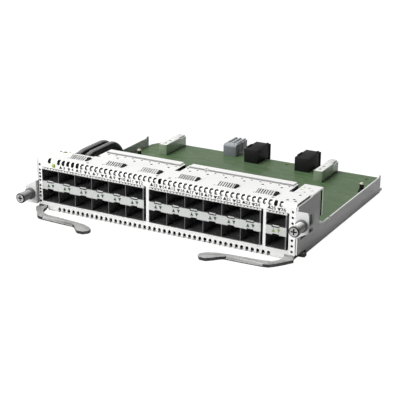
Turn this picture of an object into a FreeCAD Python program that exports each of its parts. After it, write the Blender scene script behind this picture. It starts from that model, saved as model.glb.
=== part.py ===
import FreeCAD, Part
import math
import os

# Switch line card, millimetres. X runs across the front, Y runs back into the
# chassis and Z is up. The origin is on the front face of the faceplate, midway
# between the side cheeks, at the level of the underside of the tray.

# Sheet metal
face_thickness = 1.2
tray_thickness = 1.0
top_bend_radius = 2.5
bottom_bend_radius = 2.0
top_flange_depth = 22.5
bottom_flange_depth = 7.0

# Port groups: stacked pairs of ports on one pitch
port_pitch = 14.25
left_columns = 6
right_columns = 6
end_columns = 1
left_margin = 5.3
group_gap = 4.8
end_gap = 4.5
right_margin = 8.15
port_floor_z = 7.7
lower_port_height = 9.0
band_height = 6.5
upper_port_height = 8.5
headroom = 8.3
cage_wall = 0.3
cage_right_wall = 0.8
cage_front_y = -1.0
cage_back_y = 46.0
socket_front_y = 34.0
cutout_side = 0.5
cutout_right = 1.9
cutout_top = 1.6
cutout_radius = 0.4

# Card, from the port groups
card_width = (left_margin + (left_columns + right_columns + end_columns) * port_pitch
              + group_gap + end_gap + right_margin)
card_half_width = card_width / 2
inner_half_width = card_half_width - tray_thickness
face_half_width = inner_half_width - 0.4
left_group_x = left_margin - card_half_width
right_group_x = left_group_x + left_columns * port_pitch + group_gap
end_group_x = right_group_x + right_columns * port_pitch + end_gap
band_low_z = port_floor_z + lower_port_height
band_high_z = band_low_z + band_height
port_top_z = band_high_z + upper_port_height
card_height = port_top_z + headroom
under_flange_z = card_height - face_thickness
bottom_flange_half_width = card_half_width - 13.2

# Circuit board
board_half_width = card_half_width - 1.5
board_front_y = 2.0
board_back_y = 174.5
board_top_z = 6.9
board_thickness = 2.0
board_low_z = board_top_z - board_thickness
board_corner = (7.0, 12.0)

# Vents in the faceplate bends
vent_pitch = 4.01
top_vent_width = 2.65
bottom_vent_width = 2.4
vent_first_x = left_group_x + 13.9
top_vent_count = int((card_half_width - 12.0 - vent_first_x) // vent_pitch) + 1
bottom_vent_count = int((bottom_flange_half_width - 6.0 - vent_first_x) // vent_pitch) + 1
top_vent_drop = 3.4
top_vent_reach = 2.3
bottom_vent_rise = 4.2
bottom_vent_reach = 2.6
single_vent_x = vent_first_x - 2 * vent_pitch

# Columns of small holes at the two ends of the faceplate
end_hole_radius = 0.9
end_hole_pitch = 4.0
end_hole_top_z = card_height - 5.3
end_hole_rows = 8
left_hole_x = 2.7 - card_half_width
right_hole_x = card_half_width - 3.7
paired_rows = (2, 5)
pair_offset = 1.3

# Windows in the top flange with their contact fingers
window_pitch = 29.95
window_count = 6
window_first_x = left_group_x + 17.1
window_width = 15.4
window_front_y = 9.0
window_back_y = 16.6
finger_crest = 1.5
finger_sheet = 0.35
finger_pitch = 1.8
finger_gap = 0.35
comb_width = 13.3
comb_seam_x = 9.3

# Hood panels behind and under the top flange
panel_thickness = 1.0
left_panel_x = (left_group_x + 32.0, left_group_x + 95.7)
right_panel_x = (right_group_x + 9.3, right_group_x + 94.0)
end_panel_x = (end_group_x + 8.7, card_half_width)
panel_back_y = 42.0
panel_step_y = 23.2
strip_front_y = 36.5

# Tray and cheeks
wall_top_z = 13.9
tray_back_y = 158.0
tray_front_y = 7.6
cheek_top_z = under_flange_z - 0.1
right_cheek_back_y = 35.5
left_cheek_back_y = 22.0
cheek_step_y = 21.5
tray_bend_radius = 1.5
cheek_window_ys = ((5.6, 16.2), (20.0, 26.2))
cheek_window_zs = ((10.7, 16.4), (18.6, 26.9))
cheek_window_rim = 2.0

# Screw ears and captive screws
ear_front_y = -2.8
ear_reach = 8.8
ear_height = 19.1
ear_slope = 5.2
left_ear_z = 3.4
screw_axis_x = card_half_width + 4.2
left_screw_z = 12.0
right_screw_z = card_height - 0.4 - left_screw_z
sleeve_radius = 3.45
ferrule_radius = sleeve_radius + 0.43
running_clearance = 0.05
head_radius = 3.8
head_length = 3.2
neck_length = 0.45
sleeve_front_y = -12.4
shank_radius = 2.05
recess_width = 0.9
recess_reach = 2.2

# Ejector levers
lever_thickness = 2.2
lever_high_z = 1.9
lever_low_z = 0.1
pivot_x = card_half_width - 5.7
pivot_y = 7.2
pin_radius = 2.0
lever_slot_x = card_half_width - 9.0
lever_slot_z = lever_high_z + lever_thickness + 0.15

# Status light with its cables
status_x = left_group_x + 9.7
status_z = card_height - 4.4
cable_radius = 3.0
cable_x = (left_group_x + 13.2, left_group_x + 20.9)
cable_z = card_height - 3.0
cable_start_y = 24.9
cable_start_z = cable_z - 1.0
cable_ramp_radius = 20.0
cable_bend_y = 57.0
cable_bend_radius = 17.0
cable_end_z = 16.0
status_board_z = port_top_z + cage_wall + 0.75

# Rear of the board
block_width = 7.1
block_front_y = board_back_y - 33.5
block_height = 8.9
block_left_x = (20.8 - card_half_width, card_half_width - 48.7)
connector_x = (-12.9, 31.8)
connector_width = 12.0
connector_height = 11.2
connector_front_y = board_back_y - 16.8
connector_back_y = board_back_y + 6.9
connector_rim = 1.8
power_x = -36.1
power_width = 11.4
power_height = 9.5
power_back_y = board_back_y + 12.0
power_split_y = board_back_y + 3.3
power_sink = 3.4


def V(x, y, z):
    return FreeCAD.Vector(x, y, z)


def box(x0, x1, y0, y1, z0, z1):
    return Part.makeBox(x1 - x0, y1 - y0, z1 - z0, V(x0, y0, z0))


def rod_y(radius, y0, y1, x, z):
    return Part.makeCylinder(radius, y1 - y0, V(x, y0, z), V(0, 1, 0))


def rod_z(radius, z0, z1, x, y):
    return Part.makeCylinder(radius, z1 - z0, V(x, y, z0), V(0, 0, 1))


def prism(points, direction):
    wire = Part.makePolygon(points + [points[0]])
    return Part.Face(wire).extrude(direction)


def prism_xy(points, z0, z1):
    return prism([V(x, y, z0) for x, y in points], V(0, 0, z1 - z0))


def prism_xz(points, y0, y1):
    return prism([V(x, y0, z) for x, z in points], V(0, y1 - y0, 0))


def prism_yz(points, x0, x1):
    return prism([V(x0, y, z) for y, z in points], V(x1 - x0, 0, 0))


def joined(shapes):
    first = shapes[0]
    if len(shapes) == 1:
        return first
    return first.fuse(shapes[1:]).removeSplitter()


def without(shape, tools):
    return shape.cut(Part.makeCompound(tools)).removeSplitter()


def rounded_box(x0, x1, y0, y1, z0, z1, radius, axis):
    """A box with the four edges along one axis rounded."""
    body = box(x0, x1, y0, y1, z0, z1)
    edges = []
    for edge in body.Edges:
        a = edge.Vertexes[0].Point
        b = edge.Vertexes[1].Point
        along = (b - a).normalize()
        if abs(getattr(along, axis)) > 0.99:
            edges.append(edge)
    return body.makeFillet(radius, edges)


def edges_at(shape, test):
    """Straight edges whose two ends both pass the test."""
    found = []
    for edge in shape.Edges:
        ends = [vertex.Point for vertex in edge.Vertexes]
        if len(ends) == 2 and test(ends[0]) and test(ends[1]):
            found.append(edge)
    return found


def mirrored(shape):
    return shape.mirror(V(0, 0, 0), V(1, 0, 0))


def save(name, shapes):
    solids = []
    for shape in shapes:
        solids.extend(shape.Solids)
    target = solids[0] if len(solids) == 1 else Part.makeCompound(solids)
    target.exportStep("parts/" + name + ".step")


def arc_outline(points):
    """A closed face in a YZ plane from straight runs and three-point arcs."""
    edges = []
    last = points[0][-1]
    for step in points[1:]:
        if len(step) == 1:
            edges.append(Part.LineSegment(last, step[0]).toShape())
        else:
            edges.append(Part.Arc(last, step[0], step[1]).toShape())
        last = step[-1]
    edges.append(Part.LineSegment(last, points[0][-1]).toShape())
    return Part.Face(Part.Wire(edges))


def arc_middle(cy, cz, radius, angle):
    turn = math.radians(angle)
    return cy + radius * math.cos(turn), cz + radius * math.sin(turn)


def face_sheet(x0, x1):
    """The folded sheet: bottom flange, front panel and top flange."""
    t = face_thickness
    rb = bottom_bend_radius
    rt = top_bend_radius
    top = card_height

    def at(y, z):
        return V(x0, y, z)

    outline = [
        [at(bottom_flange_depth, 0)],
        [at(rb, 0)],
        [at(*arc_middle(rb, rb, rb, 225)), at(0, rb)],
        [at(0, top - rt)],
        [at(*arc_middle(rt, top - rt, rt, 135)), at(rt, top)],
        [at(top_flange_depth, top)],
        [at(top_flange_depth, top - t)],
        [at(rt, top - t)],
        [at(*arc_middle(rt, top - rt, rt - t, 135)), at(t, top - rt)],
        [at(t, rb)],
        [at(*arc_middle(rb, rb, rb - t, 225)), at(rb, t)],
        [at(bottom_flange_depth, t)],
    ]
    return arc_outline(outline).extrude(V(x1 - x0, 0, 0))


def groups():
    """Name, left edge and number of columns of each port group."""
    return (("left", left_group_x, left_columns),
            ("right", right_group_x, right_columns),
            ("end", end_group_x, end_columns))


def port_cutouts():
    tools = []
    for _, x, columns in groups():
        right = x + columns * port_pitch + cutout_right
        tools.append(rounded_box(x - cutout_side, right, -2, 3, port_floor_z - cutout_side,
                                 port_top_z + cutout_top, cutout_radius, "y"))
    return tools


def bend_vents():
    """Slots with round ends that wrap the top and the bottom bend."""
    tools = []
    half = top_vent_width / 2
    low = card_height - top_vent_drop + half
    back = top_vent_reach - half
    for x in [vent_first_x + k * vent_pitch for k in range(top_vent_count)] + [single_vent_x]:
        tools.append(box(x - half, x + half, -1, back, low, card_height + 1))
        tools.append(rod_y(half, -1, face_thickness + 0.3, x, low))
        tools.append(rod_z(half, under_flange_z - 1.0, card_height + 1, x, back))
    half = bottom_vent_width / 2
    high = bottom_vent_rise - half
    back = bottom_vent_reach - half
    for k in range(bottom_vent_count):
        x = vent_first_x + k * vent_pitch
        tools.append(box(x - half, x + half, -1, back, -1, high))
        tools.append(rod_y(half, -1, face_thickness + 0.3, x, high))
        tools.append(rod_z(half, -1, face_thickness + 1.0, x, back))
    return tools


def end_holes():
    tools = []
    for row in range(end_hole_rows):
        z = end_hole_top_z - row * end_hole_pitch
        tools.append(rod_y(end_hole_radius, -1, 2, right_hole_x, z))
        if row in paired_rows:
            for shift in (pair_offset, -pair_offset):
                tools.append(rod_y(end_hole_radius, -1, 2, left_hole_x, z + shift))
        else:
            tools.append(rod_y(end_hole_radius, -1, 2, left_hole_x, z))
    return tools


def window_starts():
    """Left edges of the windows, on their own pitch."""
    return [window_first_x + k * window_pitch for k in range(window_count)]


def flange_holes():
    """Windows, the hole over the status block, corner holes and the cable relief."""
    low = under_flange_z - 2.8
    high = card_height + 1
    tools = []
    for x in window_starts():
        tools.append(box(x, x + window_width, window_front_y, window_back_y, low, high))
        tools.append(rod_z(0.55, low, high, x - 0.9, window_front_y + 0.2))
    status_hole_x = status_x - 3.9
    tools.append(box(status_hole_x, status_hole_x + 2.6, 17.8, 20.7, low, high))
    relief_back = top_flange_depth + 1
    tools.append(box(status_x, left_panel_x[0] - 1.0, top_flange_depth - 1.8, relief_back, low, high))
    for y in (9.1, 19.1):
        tools.append(rod_z(0.9, low, high, card_half_width - 7.1, y))
    tools.append(rod_z(0.9, low, high, 8.2 - card_half_width, 19.6))
    return tools


def rivet_places():
    """Rivets that hold the hood panels to the top flange."""
    places = []
    for x0, x1 in (left_panel_x, right_panel_x, end_panel_x):
        inner = x1 - 3.0 if x1 < end_panel_x[0] else x1 - 5.0
        places.append((x0 + 3.0, 6.5))
        places.append((inner, 6.5))
    return places


def make_faceplate():
    sheet = face_sheet(-face_half_width, face_half_width)
    tools = port_cutouts() + bend_vents() + end_holes() + flange_holes()
    outside = card_half_width + 1
    for side in (-1, 1):
        x0, x1 = sorted((side * lever_slot_x, side * outside))
        tools.append(box(x0, x1, -1, bottom_flange_depth + 1, -1, lever_slot_z))
        x0, x1 = sorted((side * bottom_flange_half_width, side * outside))
        tools.append(box(x0, x1, face_thickness, bottom_flange_depth + 1, -1, 3.0))
    tools.append(rod_y(1.6, -1, 2, status_x, status_z))
    for x, y in rivet_places():
        tools.append(rod_z(1.05, under_flange_z - 1, card_height + 1, x, y))
    back = top_flange_depth + 1
    corner = prism_xy([(-outside, back), (-outside, back - 6), (6 - outside, back)],
                      under_flange_z - 1, card_height + 1)
    tools.append(corner)
    return without(sheet, tools)


def front_leg(x0, x1, back):
    """The part of a panel under the flange, with its short leg behind the faceplate."""
    t = panel_thickness
    top = under_flange_z
    front = face_thickness + 0.2
    shell = rounded_box(x0, x1, front, back + 4, top - 8, top, 1.3, "x")
    shell = shell.cut(box(x0, x1, back, back + 5, top - 9, top + 1))
    shell = shell.cut(box(x0, x1, front + t, back + 1, top - 9, top - t))
    return shell.cut(box(x0, x1, front - 1, front + 9, top - 9, top - 5.4))


def make_panel(x0, x1):
    """A panel that runs flat under the flange and steps up into a strip at the back."""
    t = panel_thickness
    front = front_leg(x0, x1, strip_front_y + t)
    riser = box(x0, x1, strip_front_y, strip_front_y + t, under_flange_z - t, card_height - t)
    leg = box(x0, x1, panel_back_y - t, panel_back_y, card_height - 6.0, card_height - t)
    rest = box(x0, x1, strip_front_y + 0.001, panel_back_y, card_height - 2 * t, card_height - t)
    return joined([front, riser, rest, leg])


def make_end_panel(x0, x1):
    """The corner panel: level with the flange, with a side strip behind the cheek."""
    t = panel_thickness
    front = front_leg(x0, x1, panel_step_y + t)
    riser = box(x0, x1, panel_step_y, panel_step_y + t, under_flange_z - t, card_height)
    upper = box(x0, x1, panel_step_y, panel_back_y, card_height - t, card_height)
    leg = box(x0, x1, panel_back_y - t, panel_back_y, card_height - 2.4, card_height)
    side = box(x1 - t, x1, panel_back_y - 1.8, panel_back_y, card_height - 20.0, card_height)
    return joined([front, riser, upper, leg, side])


def panel_tools(x0, x1):
    tools = []
    for x in window_starts():
        tools.append(box(x - 1, x + window_width + 1, window_front_y - 1.8, window_back_y + 1.8,
                         under_flange_z - 7, under_flange_z + 0.01))
    for x, y in rivet_places():
        if x0 < x < x1:
            tools.append(rod_z(1.05, under_flange_z - 3, card_height, x, y))
    return tools


def panel_dots(group_x, columns, span, shift):
    """Two rows of small holes near the back of a hood panel."""
    low = under_flange_z - 2
    high = card_height + 1
    tools = []
    for k in range(-1, columns + 1):
        c = group_x + k * port_pitch + shift
        for x, y, radius in ((c - 1.9, 34.3, 0.75), (c + 5.8, 34.3, 0.75), (c + 2.1, 29.8, 0.95)):
            if span[0] + 2 < x < span[1] - 2:
                tools.append(rod_z(radius, low, high, x, y))
    return tools


def make_hood_panels():
    left = without(make_panel(*left_panel_x), panel_tools(*left_panel_x)
                   + panel_dots(left_group_x, left_columns, left_panel_x, 0.8))
    right = without(make_panel(*right_panel_x), panel_tools(*right_panel_x)
                    + panel_dots(right_group_x, right_columns, right_panel_x, -0.8))
    tools = panel_tools(*end_panel_x)
    cage_right = cage_outline(end_group_x, end_columns)[1]
    outside = card_half_width + 1
    below = card_height - panel_thickness
    tools.append(box(inner_half_width - 0.1, outside, 0, panel_step_y + 0.2, under_flange_z - 9,
                     card_height + 1))
    tools.append(box(end_group_x - 1, cage_right + 0.4, panel_step_y + 1.8, cage_back_y, 0,
                     port_top_z + cage_wall + 0.4))
    tools.append(box(inner_half_width - 0.1, outside, 0, right_cheek_back_y + 0.3,
                     under_flange_z - 9, below))
    base = end_panel_x[0]
    for dx, y in ((6.5, 26.3), (2.6, 30.6), (10.2, 30.9), (6.2, 35.0), (2.7, 35.4)):
        tools.append(rod_z(0.9, below - 1, card_height + 1, base + dx, y))
    end = without(make_end_panel(*end_panel_x), tools)
    return left, right, end


def make_stiffener(x0, x1, gaps):
    """A bar on the raised strip along the back edge of a hood panel."""
    low = card_height - panel_thickness
    bar = box(x0, x1, strip_front_y, panel_back_y + 0.2, low, card_height)
    leg = box(x0, x1, panel_back_y, panel_back_y + 0.6, low - 3.0, card_height)
    bar = joined([bar, leg])
    for g0, g1 in gaps:
        bar = bar.cut(box(g0, g1, strip_front_y - 1, strip_front_y + 1.6, low + 0.4, card_height + 2))
    return bar


def make_rivets():
    rivets = []
    low = under_flange_z - panel_thickness
    for x, y in rivet_places():
        shank = rod_z(1.03, low, card_height, x, y)
        foot = rod_z(1.6, low - 0.5, low, x, y)
        rivets.append(joined([shank, foot]))
    return rivets


def finger_profile(solid):
    """Side outline of the bowed fingers that rise out of a window, or of a solid end piece."""
    under = under_flange_z
    front = window_front_y
    crest = card_height + finger_crest
    back = window_back_y
    outer = [(front - 1.2, under), (front + 0.15, under), (front + 0.45, card_height),
             (front + 4.6, crest - 0.1), (front + 5.2, crest), (front + 5.8, crest - 0.15),
             (back - 0.3, under), (back + 1.2, under)]
    s = finger_sheet
    if solid:
        return outer + [(back + 1.2, under - s), (front - 1.2, under - s)]
    inner = [(back + 1.2, under - s), (back - 0.6, under - s), (front + 5.6, crest - 0.15 - s),
             (front + 5.2, crest - 0.05 - s), (front + 4.7, crest - 0.13 - s),
             (front + 0.8, card_height - 0.3), (front + 0.45, under - s), (front - 1.2, under - s)]
    return outer + inner


def make_window_springs():
    """A comb of bowed contact fingers in each window."""
    springs = []
    for x in window_starts():
        comb = prism_yz(finger_profile(False), x + 0.2, x + comb_width)
        gaps = [x + comb_seam_x]
        first = int((comb_seam_x - 0.2) // finger_pitch)
        gaps.extend([x + 0.2 + k * finger_pitch for k in range(1, first)])
        gaps.append(x + comb_seam_x + finger_pitch)
        tools = [box(g - finger_gap / 2, g + finger_gap / 2, window_front_y + 0.6, window_back_y - 0.9,
                     under_flange_z + 0.3, card_height + finger_crest + 1) for g in gaps]
        springs.append(without(comb, tools))
    return springs


def make_spring_ends():
    """The black end piece at the right of each comb."""
    return [prism_yz(finger_profile(True), x + comb_width + 0.1, x + window_width - 0.2)
            for x in window_starts()]


def cage_outline(x, columns):
    return x - cage_wall / 2, x + columns * port_pitch - cage_wall / 2 + cage_right_wall


def cage_pin_places(x, columns):
    xs = sorted({0, columns // 2, columns})
    return [(x + k * port_pitch, y) for k in xs for y in (5.0, 17.0, 29.0)]


def make_cage(x, columns):
    """One stacked sheet-metal cage with a light-pipe band between the rows."""
    left, right = cage_outline(x, columns)
    top = port_top_z + cage_wall
    body = box(left, right, cage_front_y, cage_back_y, board_top_z, top)
    tools = [box(left + cage_wall, right - cage_right_wall, cage_front_y - 1, cage_back_y - cage_wall,
                 board_top_z - 1, port_floor_z - cage_wall),
             box(left - 1, right + 1, cage_front_y - 1, face_thickness + 0.5,
                 board_top_z - 1, port_floor_z - cage_wall - 0.05)]
    walls = cage_wall / 2
    for k in range(columns):
        a = x + k * port_pitch + walls
        b = x + (k + 1) * port_pitch - walls
        back = cage_back_y - cage_wall
        tools.append(box(a, b, cage_front_y - 1, back, port_floor_z, band_low_z))
        tools.append(box(a, b, cage_front_y - 1, back, band_high_z, port_top_z))
        tools.append(box(a, b, cage_front_y + cage_wall, back,
                         band_low_z + cage_wall, band_high_z - cage_wall))
        tools.append(box(a, b, socket_front_y - 1, back, board_top_z - 1, port_top_z))
        c = x + k * port_pitch
        tools.append(box(c + 4.1, c + 9.9, cage_front_y - 1, cage_front_y + 4,
                         band_high_z - 1.2, band_high_z + 0.1))
        tools.append(box(c + 4.7, c + 9.6, cage_front_y - 1, cage_front_y + 2,
                         band_low_z - 0.1, band_low_z + 0.9))
        tools.append(box(c + 3.4, c + 11.2, cage_back_y - 1, cage_back_y + 1,
                         band_low_z + 1.2, band_low_z + 5.2))
        for points in pipe_marks(c, 0.12):
            tools.append(prism_xz(points, cage_front_y - 0.5, cage_front_y + 0.6))
    body = without(body, tools)
    extra = []
    for k in range(columns):
        c = x + k * port_pitch
        tab = box(c + 4.8, c + 9.6, cage_front_y - 0.2, cage_front_y + 4.4, band_high_z - 0.3,
                  band_high_z + 0.1)
        lip = box(c + 4.8, c + 9.6, cage_front_y - 0.2, cage_front_y + 0.3, band_high_z - 0.3,
                  band_high_z + 0.6)
        extra.extend([tab, lip])
    for px, py in cage_pin_places(x, columns):
        extra.append(rod_z(0.45, board_low_z + 0.2, board_top_z + 0.6, px, py))
        extra.append(box(px - 0.2, px + 0.2, py - 1.5, py + 1.5, board_top_z, port_floor_z))
    return joined([body] + extra)


def pipe_marks(x, grow):
    """The two triangles of one column, pointing up and down."""
    low = band_low_z + 2.0
    high = low + 2.4
    up = [(x + 4.3 - grow, low - grow / 2), (x + 6.6 + grow, low - grow / 2),
          (x + 5.45, high + grow * 1.5)]
    down = [(x + 8.1 - grow, high + grow / 2), (x + 9.25, low - grow * 1.5),
            (x + 10.4 + grow, high + grow / 2)]
    return up, down


def make_light_pipes(x, columns):
    """Clear triangular rods from the front band to the lights on the board."""
    pipes = []
    back = cage_back_y + 2.6
    for k in range(columns):
        c = x + k * port_pitch
        for points, middle in zip(pipe_marks(c, 0.0), (5.45, 9.25)):
            run = prism_xz(points, cage_front_y - 0.15, back)
            leg = box(c + middle - 0.8, c + middle + 0.8, back - 1.6, back,
                      board_top_z + 1.1, band_low_z + 3.3)
            pipes.append(joined([run, leg]))
    return pipes


def make_port_lights():
    lights = []
    y = cage_back_y + 1.0
    for _, x, columns in groups():
        for k in range(columns):
            for middle in (5.45, 9.25):
                c = x + k * port_pitch + middle
                lights.append(box(c - 0.8, c + 0.8, y, y + 1.6, board_top_z, board_top_z + 0.9))
    return lights


def make_port_sockets(x, columns):
    """Black stacked sockets at the back of each port column."""
    sockets = []
    wide = port_pitch / 2 - 0.7
    nose = wide - 0.2
    slot = wide - 1.1
    back = cage_back_y - cage_wall
    front = socket_front_y
    low = port_floor_z + 0.9
    high = band_high_z + 1.2
    top = high + 6.2
    for k in range(columns):
        c = x + (k + 0.5) * port_pitch
        body = box(c - wide, c + wide, front + 4, back, board_top_z, top)
        lower = box(c - nose, c + nose, front, front + 4, low, low + 6.2)
        upper = box(c - nose, c + nose, front, front + 4, high, top)
        socket = joined([body, lower, upper])
        slots = [box(c - slot, c + slot, front - 1, front + 7, low + 2.6, low + 3.9),
                 box(c - slot, c + slot, front - 1, front + 7, high + 2.6, high + 3.9),
                 box(c - slot + 1.5, c + slot - 1.1, front - 1, back + 1,
                     band_low_z + 1.0, band_low_z + 5.3)]
        sockets.append(without(socket, slots))
    return sockets


def make_spring_fingers(x, columns):
    """A comb of small fingers between the cage roof and the faceplate."""
    left, right = cage_outline(x, columns)
    roof = port_top_z + cage_wall
    strip = box(left, right, cage_front_y + 0.1, 6.0, roof, roof + 0.3)
    pitch = 2.45
    count = int((right - left - 0.6) // pitch)
    start = (left + right - count * pitch) / 2
    rail = box(left, right, cage_front_y + 0.1, cage_front_y + 0.5, roof + 0.3, roof + 1.15)
    gaps = [rod_y(0.6, cage_front_y - 1, cage_front_y + 2, start + (k + 0.5) * pitch, roof + 0.75)
            for k in range(count)]
    return without(joined([strip, rail]), gaps)


def standoff_places():
    side = card_half_width - 8.0
    low = [(x, y) for x in (-62.0, 0.0, 62.0) for y in (58.0, 112.0)]
    return low + [(-side, 56.0), (side, 56.0)]


def post_places():
    return [(9.5 - card_half_width, 128.5), (card_half_width - 8.4, 140.0)]


def make_board():
    board = box(-board_half_width, board_half_width, board_front_y, board_back_y,
                board_low_z, board_top_z)
    tools = []
    wide, deep = board_corner
    for side in (-1, 1):
        edge = side * board_half_width
        tools.append(prism_xy([(edge - side * wide, board_back_y), (edge, board_back_y - deep),
                               (edge + side, board_back_y - deep), (edge + side, board_back_y + 1),
                               (edge - side * wide, board_back_y + 1)],
                              board_low_z - 1, board_top_z + 1))
    spare_holes = [(20.9, board_back_y - 5.8), (card_half_width - 14.0, board_back_y - 8.0)]
    for x, y in standoff_places() + post_places() + spare_holes:
        tools.append(rod_z(1.6, board_low_z - 1, board_top_z + 1, x, y))
    for _, x, columns in groups():
        for px, py in cage_pin_places(x, columns):
            tools.append(rod_z(0.55, board_low_z - 1, board_top_z + 1, px, py))
    for x in block_left_x:
        for y in block_screw_ys():
            tools.append(rod_z(1.4, board_low_z - 1, board_top_z + 1, x + block_width / 2, y))
    return without(board, tools)


def make_standoffs():
    spacers = []
    for x, y in standoff_places() + post_places():
        body = rod_z(2.9, tray_thickness, board_low_z, x, y)
        body = body.cut(rod_z(1.3, tray_thickness + 0.6, board_low_z + 1, x, y))
        spacers.append(body)
    return spacers


def make_board_screws():
    screws = []
    for x, y in standoff_places():
        shank = rod_z(1.25, board_low_z - 3.0, board_top_z, x, y)
        head = rod_z(2.8, board_top_z, board_top_z + 1.9, x, y)
        screw = joined([head, shank])
        cross = [box(x - 1.5, x + 1.5, y - 0.3, y + 0.3, board_top_z + 0.9, board_top_z + 3),
                 box(x - 0.3, x + 0.3, y - 1.5, y + 1.5, board_top_z + 0.9, board_top_z + 3)]
        screws.append(without(screw, cross))
    return screws


def make_posts():
    """Dark pillars near the side walls, screwed through the board."""
    posts = []
    for x, y in post_places():
        base = rod_z(2.2, board_top_z, board_top_z + 0.8, x, y)
        pillar = rod_z(1.7, board_top_z, board_top_z + 5.0, x, y)
        shank = rod_z(1.25, board_low_z - 3.0, board_top_z, x, y)
        posts.append(joined([base, pillar, shank]))
    return posts


def make_post_caps():
    caps = []
    for x, y in post_places():
        cap = Part.makeCone(1.8, 1.0, 1.0, V(x, y, board_top_z + 5.0), V(0, 0, 1))
        caps.append(cap)
    return caps


def cheek_windows(back):
    """Vent windows through a right-hand cheek, as many as its length has room for."""
    outside = card_half_width + 1
    inside = inner_half_width - 1
    return [box(inside, outside, y0, y1, z0, z1)
            for y0, y1 in cheek_window_ys for z0, z1 in cheek_window_zs
            if y1 < back - cheek_window_rim]


def lever_clearance():
    """Cuts in a right-hand cheek that let the ejector claw and neck swing."""
    side = [(-4, -1), (-4, 4.9), (2.0, 4.9), (5.2, 4.3), (15.6, 4.3),
            (15.6, 1.7), (9.5, 1.7), (17.5, -0.01), (17.5, -1)]
    return prism_yz(side, pivot_x - 8.0, card_half_width + ear_reach + 1)


def make_ear(side):
    """One ear bent outwards from the front edge of a cheek, right-hand side."""
    x0 = inner_half_width
    x1 = card_half_width + ear_reach
    t = tray_thickness
    if side > 0:
        low = card_height - left_ear_z - ear_height
        high = low + ear_height
        points = [(x0, low), (x1, low + ear_slope), (x1, high), (x0, high)]
        z = right_screw_z
    else:
        low = left_ear_z
        high = low + ear_height
        points = [(x0, low), (x1, low), (x1, high - ear_slope), (x0, high)]
        z = left_screw_z
    plate = prism_xz(points, ear_front_y, ear_front_y + t)
    tips = edges_at(plate, lambda p: abs(p.x - x1) < 0.01)
    tips = [e for e in tips if abs(e.Vertexes[0].Y - e.Vertexes[1].Y) > 0.5]
    plate = plate.makeFillet(1.8, tips)
    root = box(x0, x0 + t, ear_front_y, 0.3, low, high)
    ear = joined([plate, root])
    bend = edges_at(ear, lambda p: abs(p.x - x0) < 0.01 and abs(p.y - ear_front_y) < 0.01)
    ear = ear.makeFillet(0.9, bend)
    return ear.cut(rod_y(ferrule_radius + 0.02, ear_front_y - 1, ear_front_y + 3, screw_axis_x, z))


def make_cheek(side):
    """One side wall with its tall front cheek and screw ear, right-hand side."""
    x0 = inner_half_width
    x1 = card_half_width
    back = right_cheek_back_y if side > 0 else left_cheek_back_y
    parts = [box(x0, x1, 0.2, min(back, cheek_step_y), wall_top_z - 3, cheek_top_z)]
    if back > cheek_step_y:
        parts.append(box(x0, x1, cheek_step_y, back, wall_top_z - 3, card_height - panel_thickness))
    tab = box(x0, x1, tray_back_y - 4.0, tray_back_y, wall_top_z - 2, wall_top_z + 1.2)
    tops = edges_at(tab, lambda p: abs(p.z - wall_top_z - 1.2) < 0.01)
    tab = tab.makeFillet(0.9, [e for e in tops if abs(e.Vertexes[0].X - e.Vertexes[1].X) > 0.5])
    foot = box(x0, x1, tray_back_y - 2, tray_back_y + 4.2, 1.6, 3.4)
    cheek = joined(parts + [tab, foot, make_ear(side)])
    return without(cheek, cheek_windows(back))


def make_tray():
    outer = box(-card_half_width, card_half_width, 0.2, tray_back_y, 0, wall_top_z)
    bends = edges_at(outer, lambda p: abs(abs(p.x) - card_half_width) < 0.01 and abs(p.z) < 0.01)
    outer = outer.makeFillet(tray_bend_radius, [e for e in bends if e.Length > 50])
    hollow = box(-inner_half_width, inner_half_width, -1, tray_back_y + 1,
                 tray_thickness, wall_top_z + 1)
    folds = edges_at(hollow, lambda p: abs(abs(p.x) - inner_half_width) < 0.01
                     and abs(p.z - tray_thickness) < 0.01)
    hollow = hollow.makeFillet(tray_bend_radius - tray_thickness,
                               [e for e in folds if e.Length > 50])
    tray = outer.cut(hollow)
    front = box(-inner_half_width, inner_half_width, 0, tray_front_y, -1, tray_thickness + 0.6)
    tray = tray.cut(front)
    pads = []
    for side in (-1, 1):
        x0, x1 = sorted((side * (pivot_x - 5.5), side * (inner_half_width + 0.2)))
        pads.append(box(x0, x1, pivot_y - 5.0, tray_front_y + 1.0, 0, tray_thickness))
    right = make_cheek(1)
    left = mirrored(make_cheek(-1))
    tray = joined([tray, right, left] + pads)
    tools = [lever_clearance(), mirrored(lever_clearance())]
    for side in (-1, 1):
        tools.append(rod_z(pin_radius, -1, 3, side * pivot_x, pivot_y))
        x0, x1 = sorted((side * (inner_half_width - 0.5), side * (card_half_width + 1)))
        tools.append(box(x0, x1, 55.0, 57.0, wall_top_z - 1.6, wall_top_z + 1))
    return without(tray, tools)


def lever_outline():
    """Plan of the folded right-hand lever, from the pivot."""
    plan = [(4.3, -6.7), (4.3, -9.2), (5.7, -10.3), (1.3, -15.0), (-3.1, -21.2), (-6.3, -24.6),
            (-10.3, -25.6), (-27.8, -26.5), (-37.8, -26.7), (-40.0, -28.0), (-44.2, -32.6),
            (-47.4, -35.4), (-52.1, -35.4), (-54.9, -32.2), (-54.7, -28.6), (-50.8, -25.4),
            (-45.3, -23.0), (-37.3, -21.6), (-23.3, -20.4), (-12.3, -19.6), (-7.3, -18.0),
            (-3.9, -14.6), (-2.9, -11.0), (-2.9, -6.7)]
    return [(pivot_x + x, pivot_y + y) for x, y in plan]


def lever_side():
    """Side outline of the lever front: a joggle down from the neck, then flat."""
    t = lever_thickness
    high = lever_high_z
    low = lever_low_z
    back = pivot_y - 6.7
    return [(back, high), (back, high + t), (-0.35, high + t), (-1.3, low + t + 0.85),
            (-8.6, low + t), (-40.0, low + t), (-40.0, low), (-8.2, low), (-1.7, low + 0.85),
            (-0.75, high)]


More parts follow.
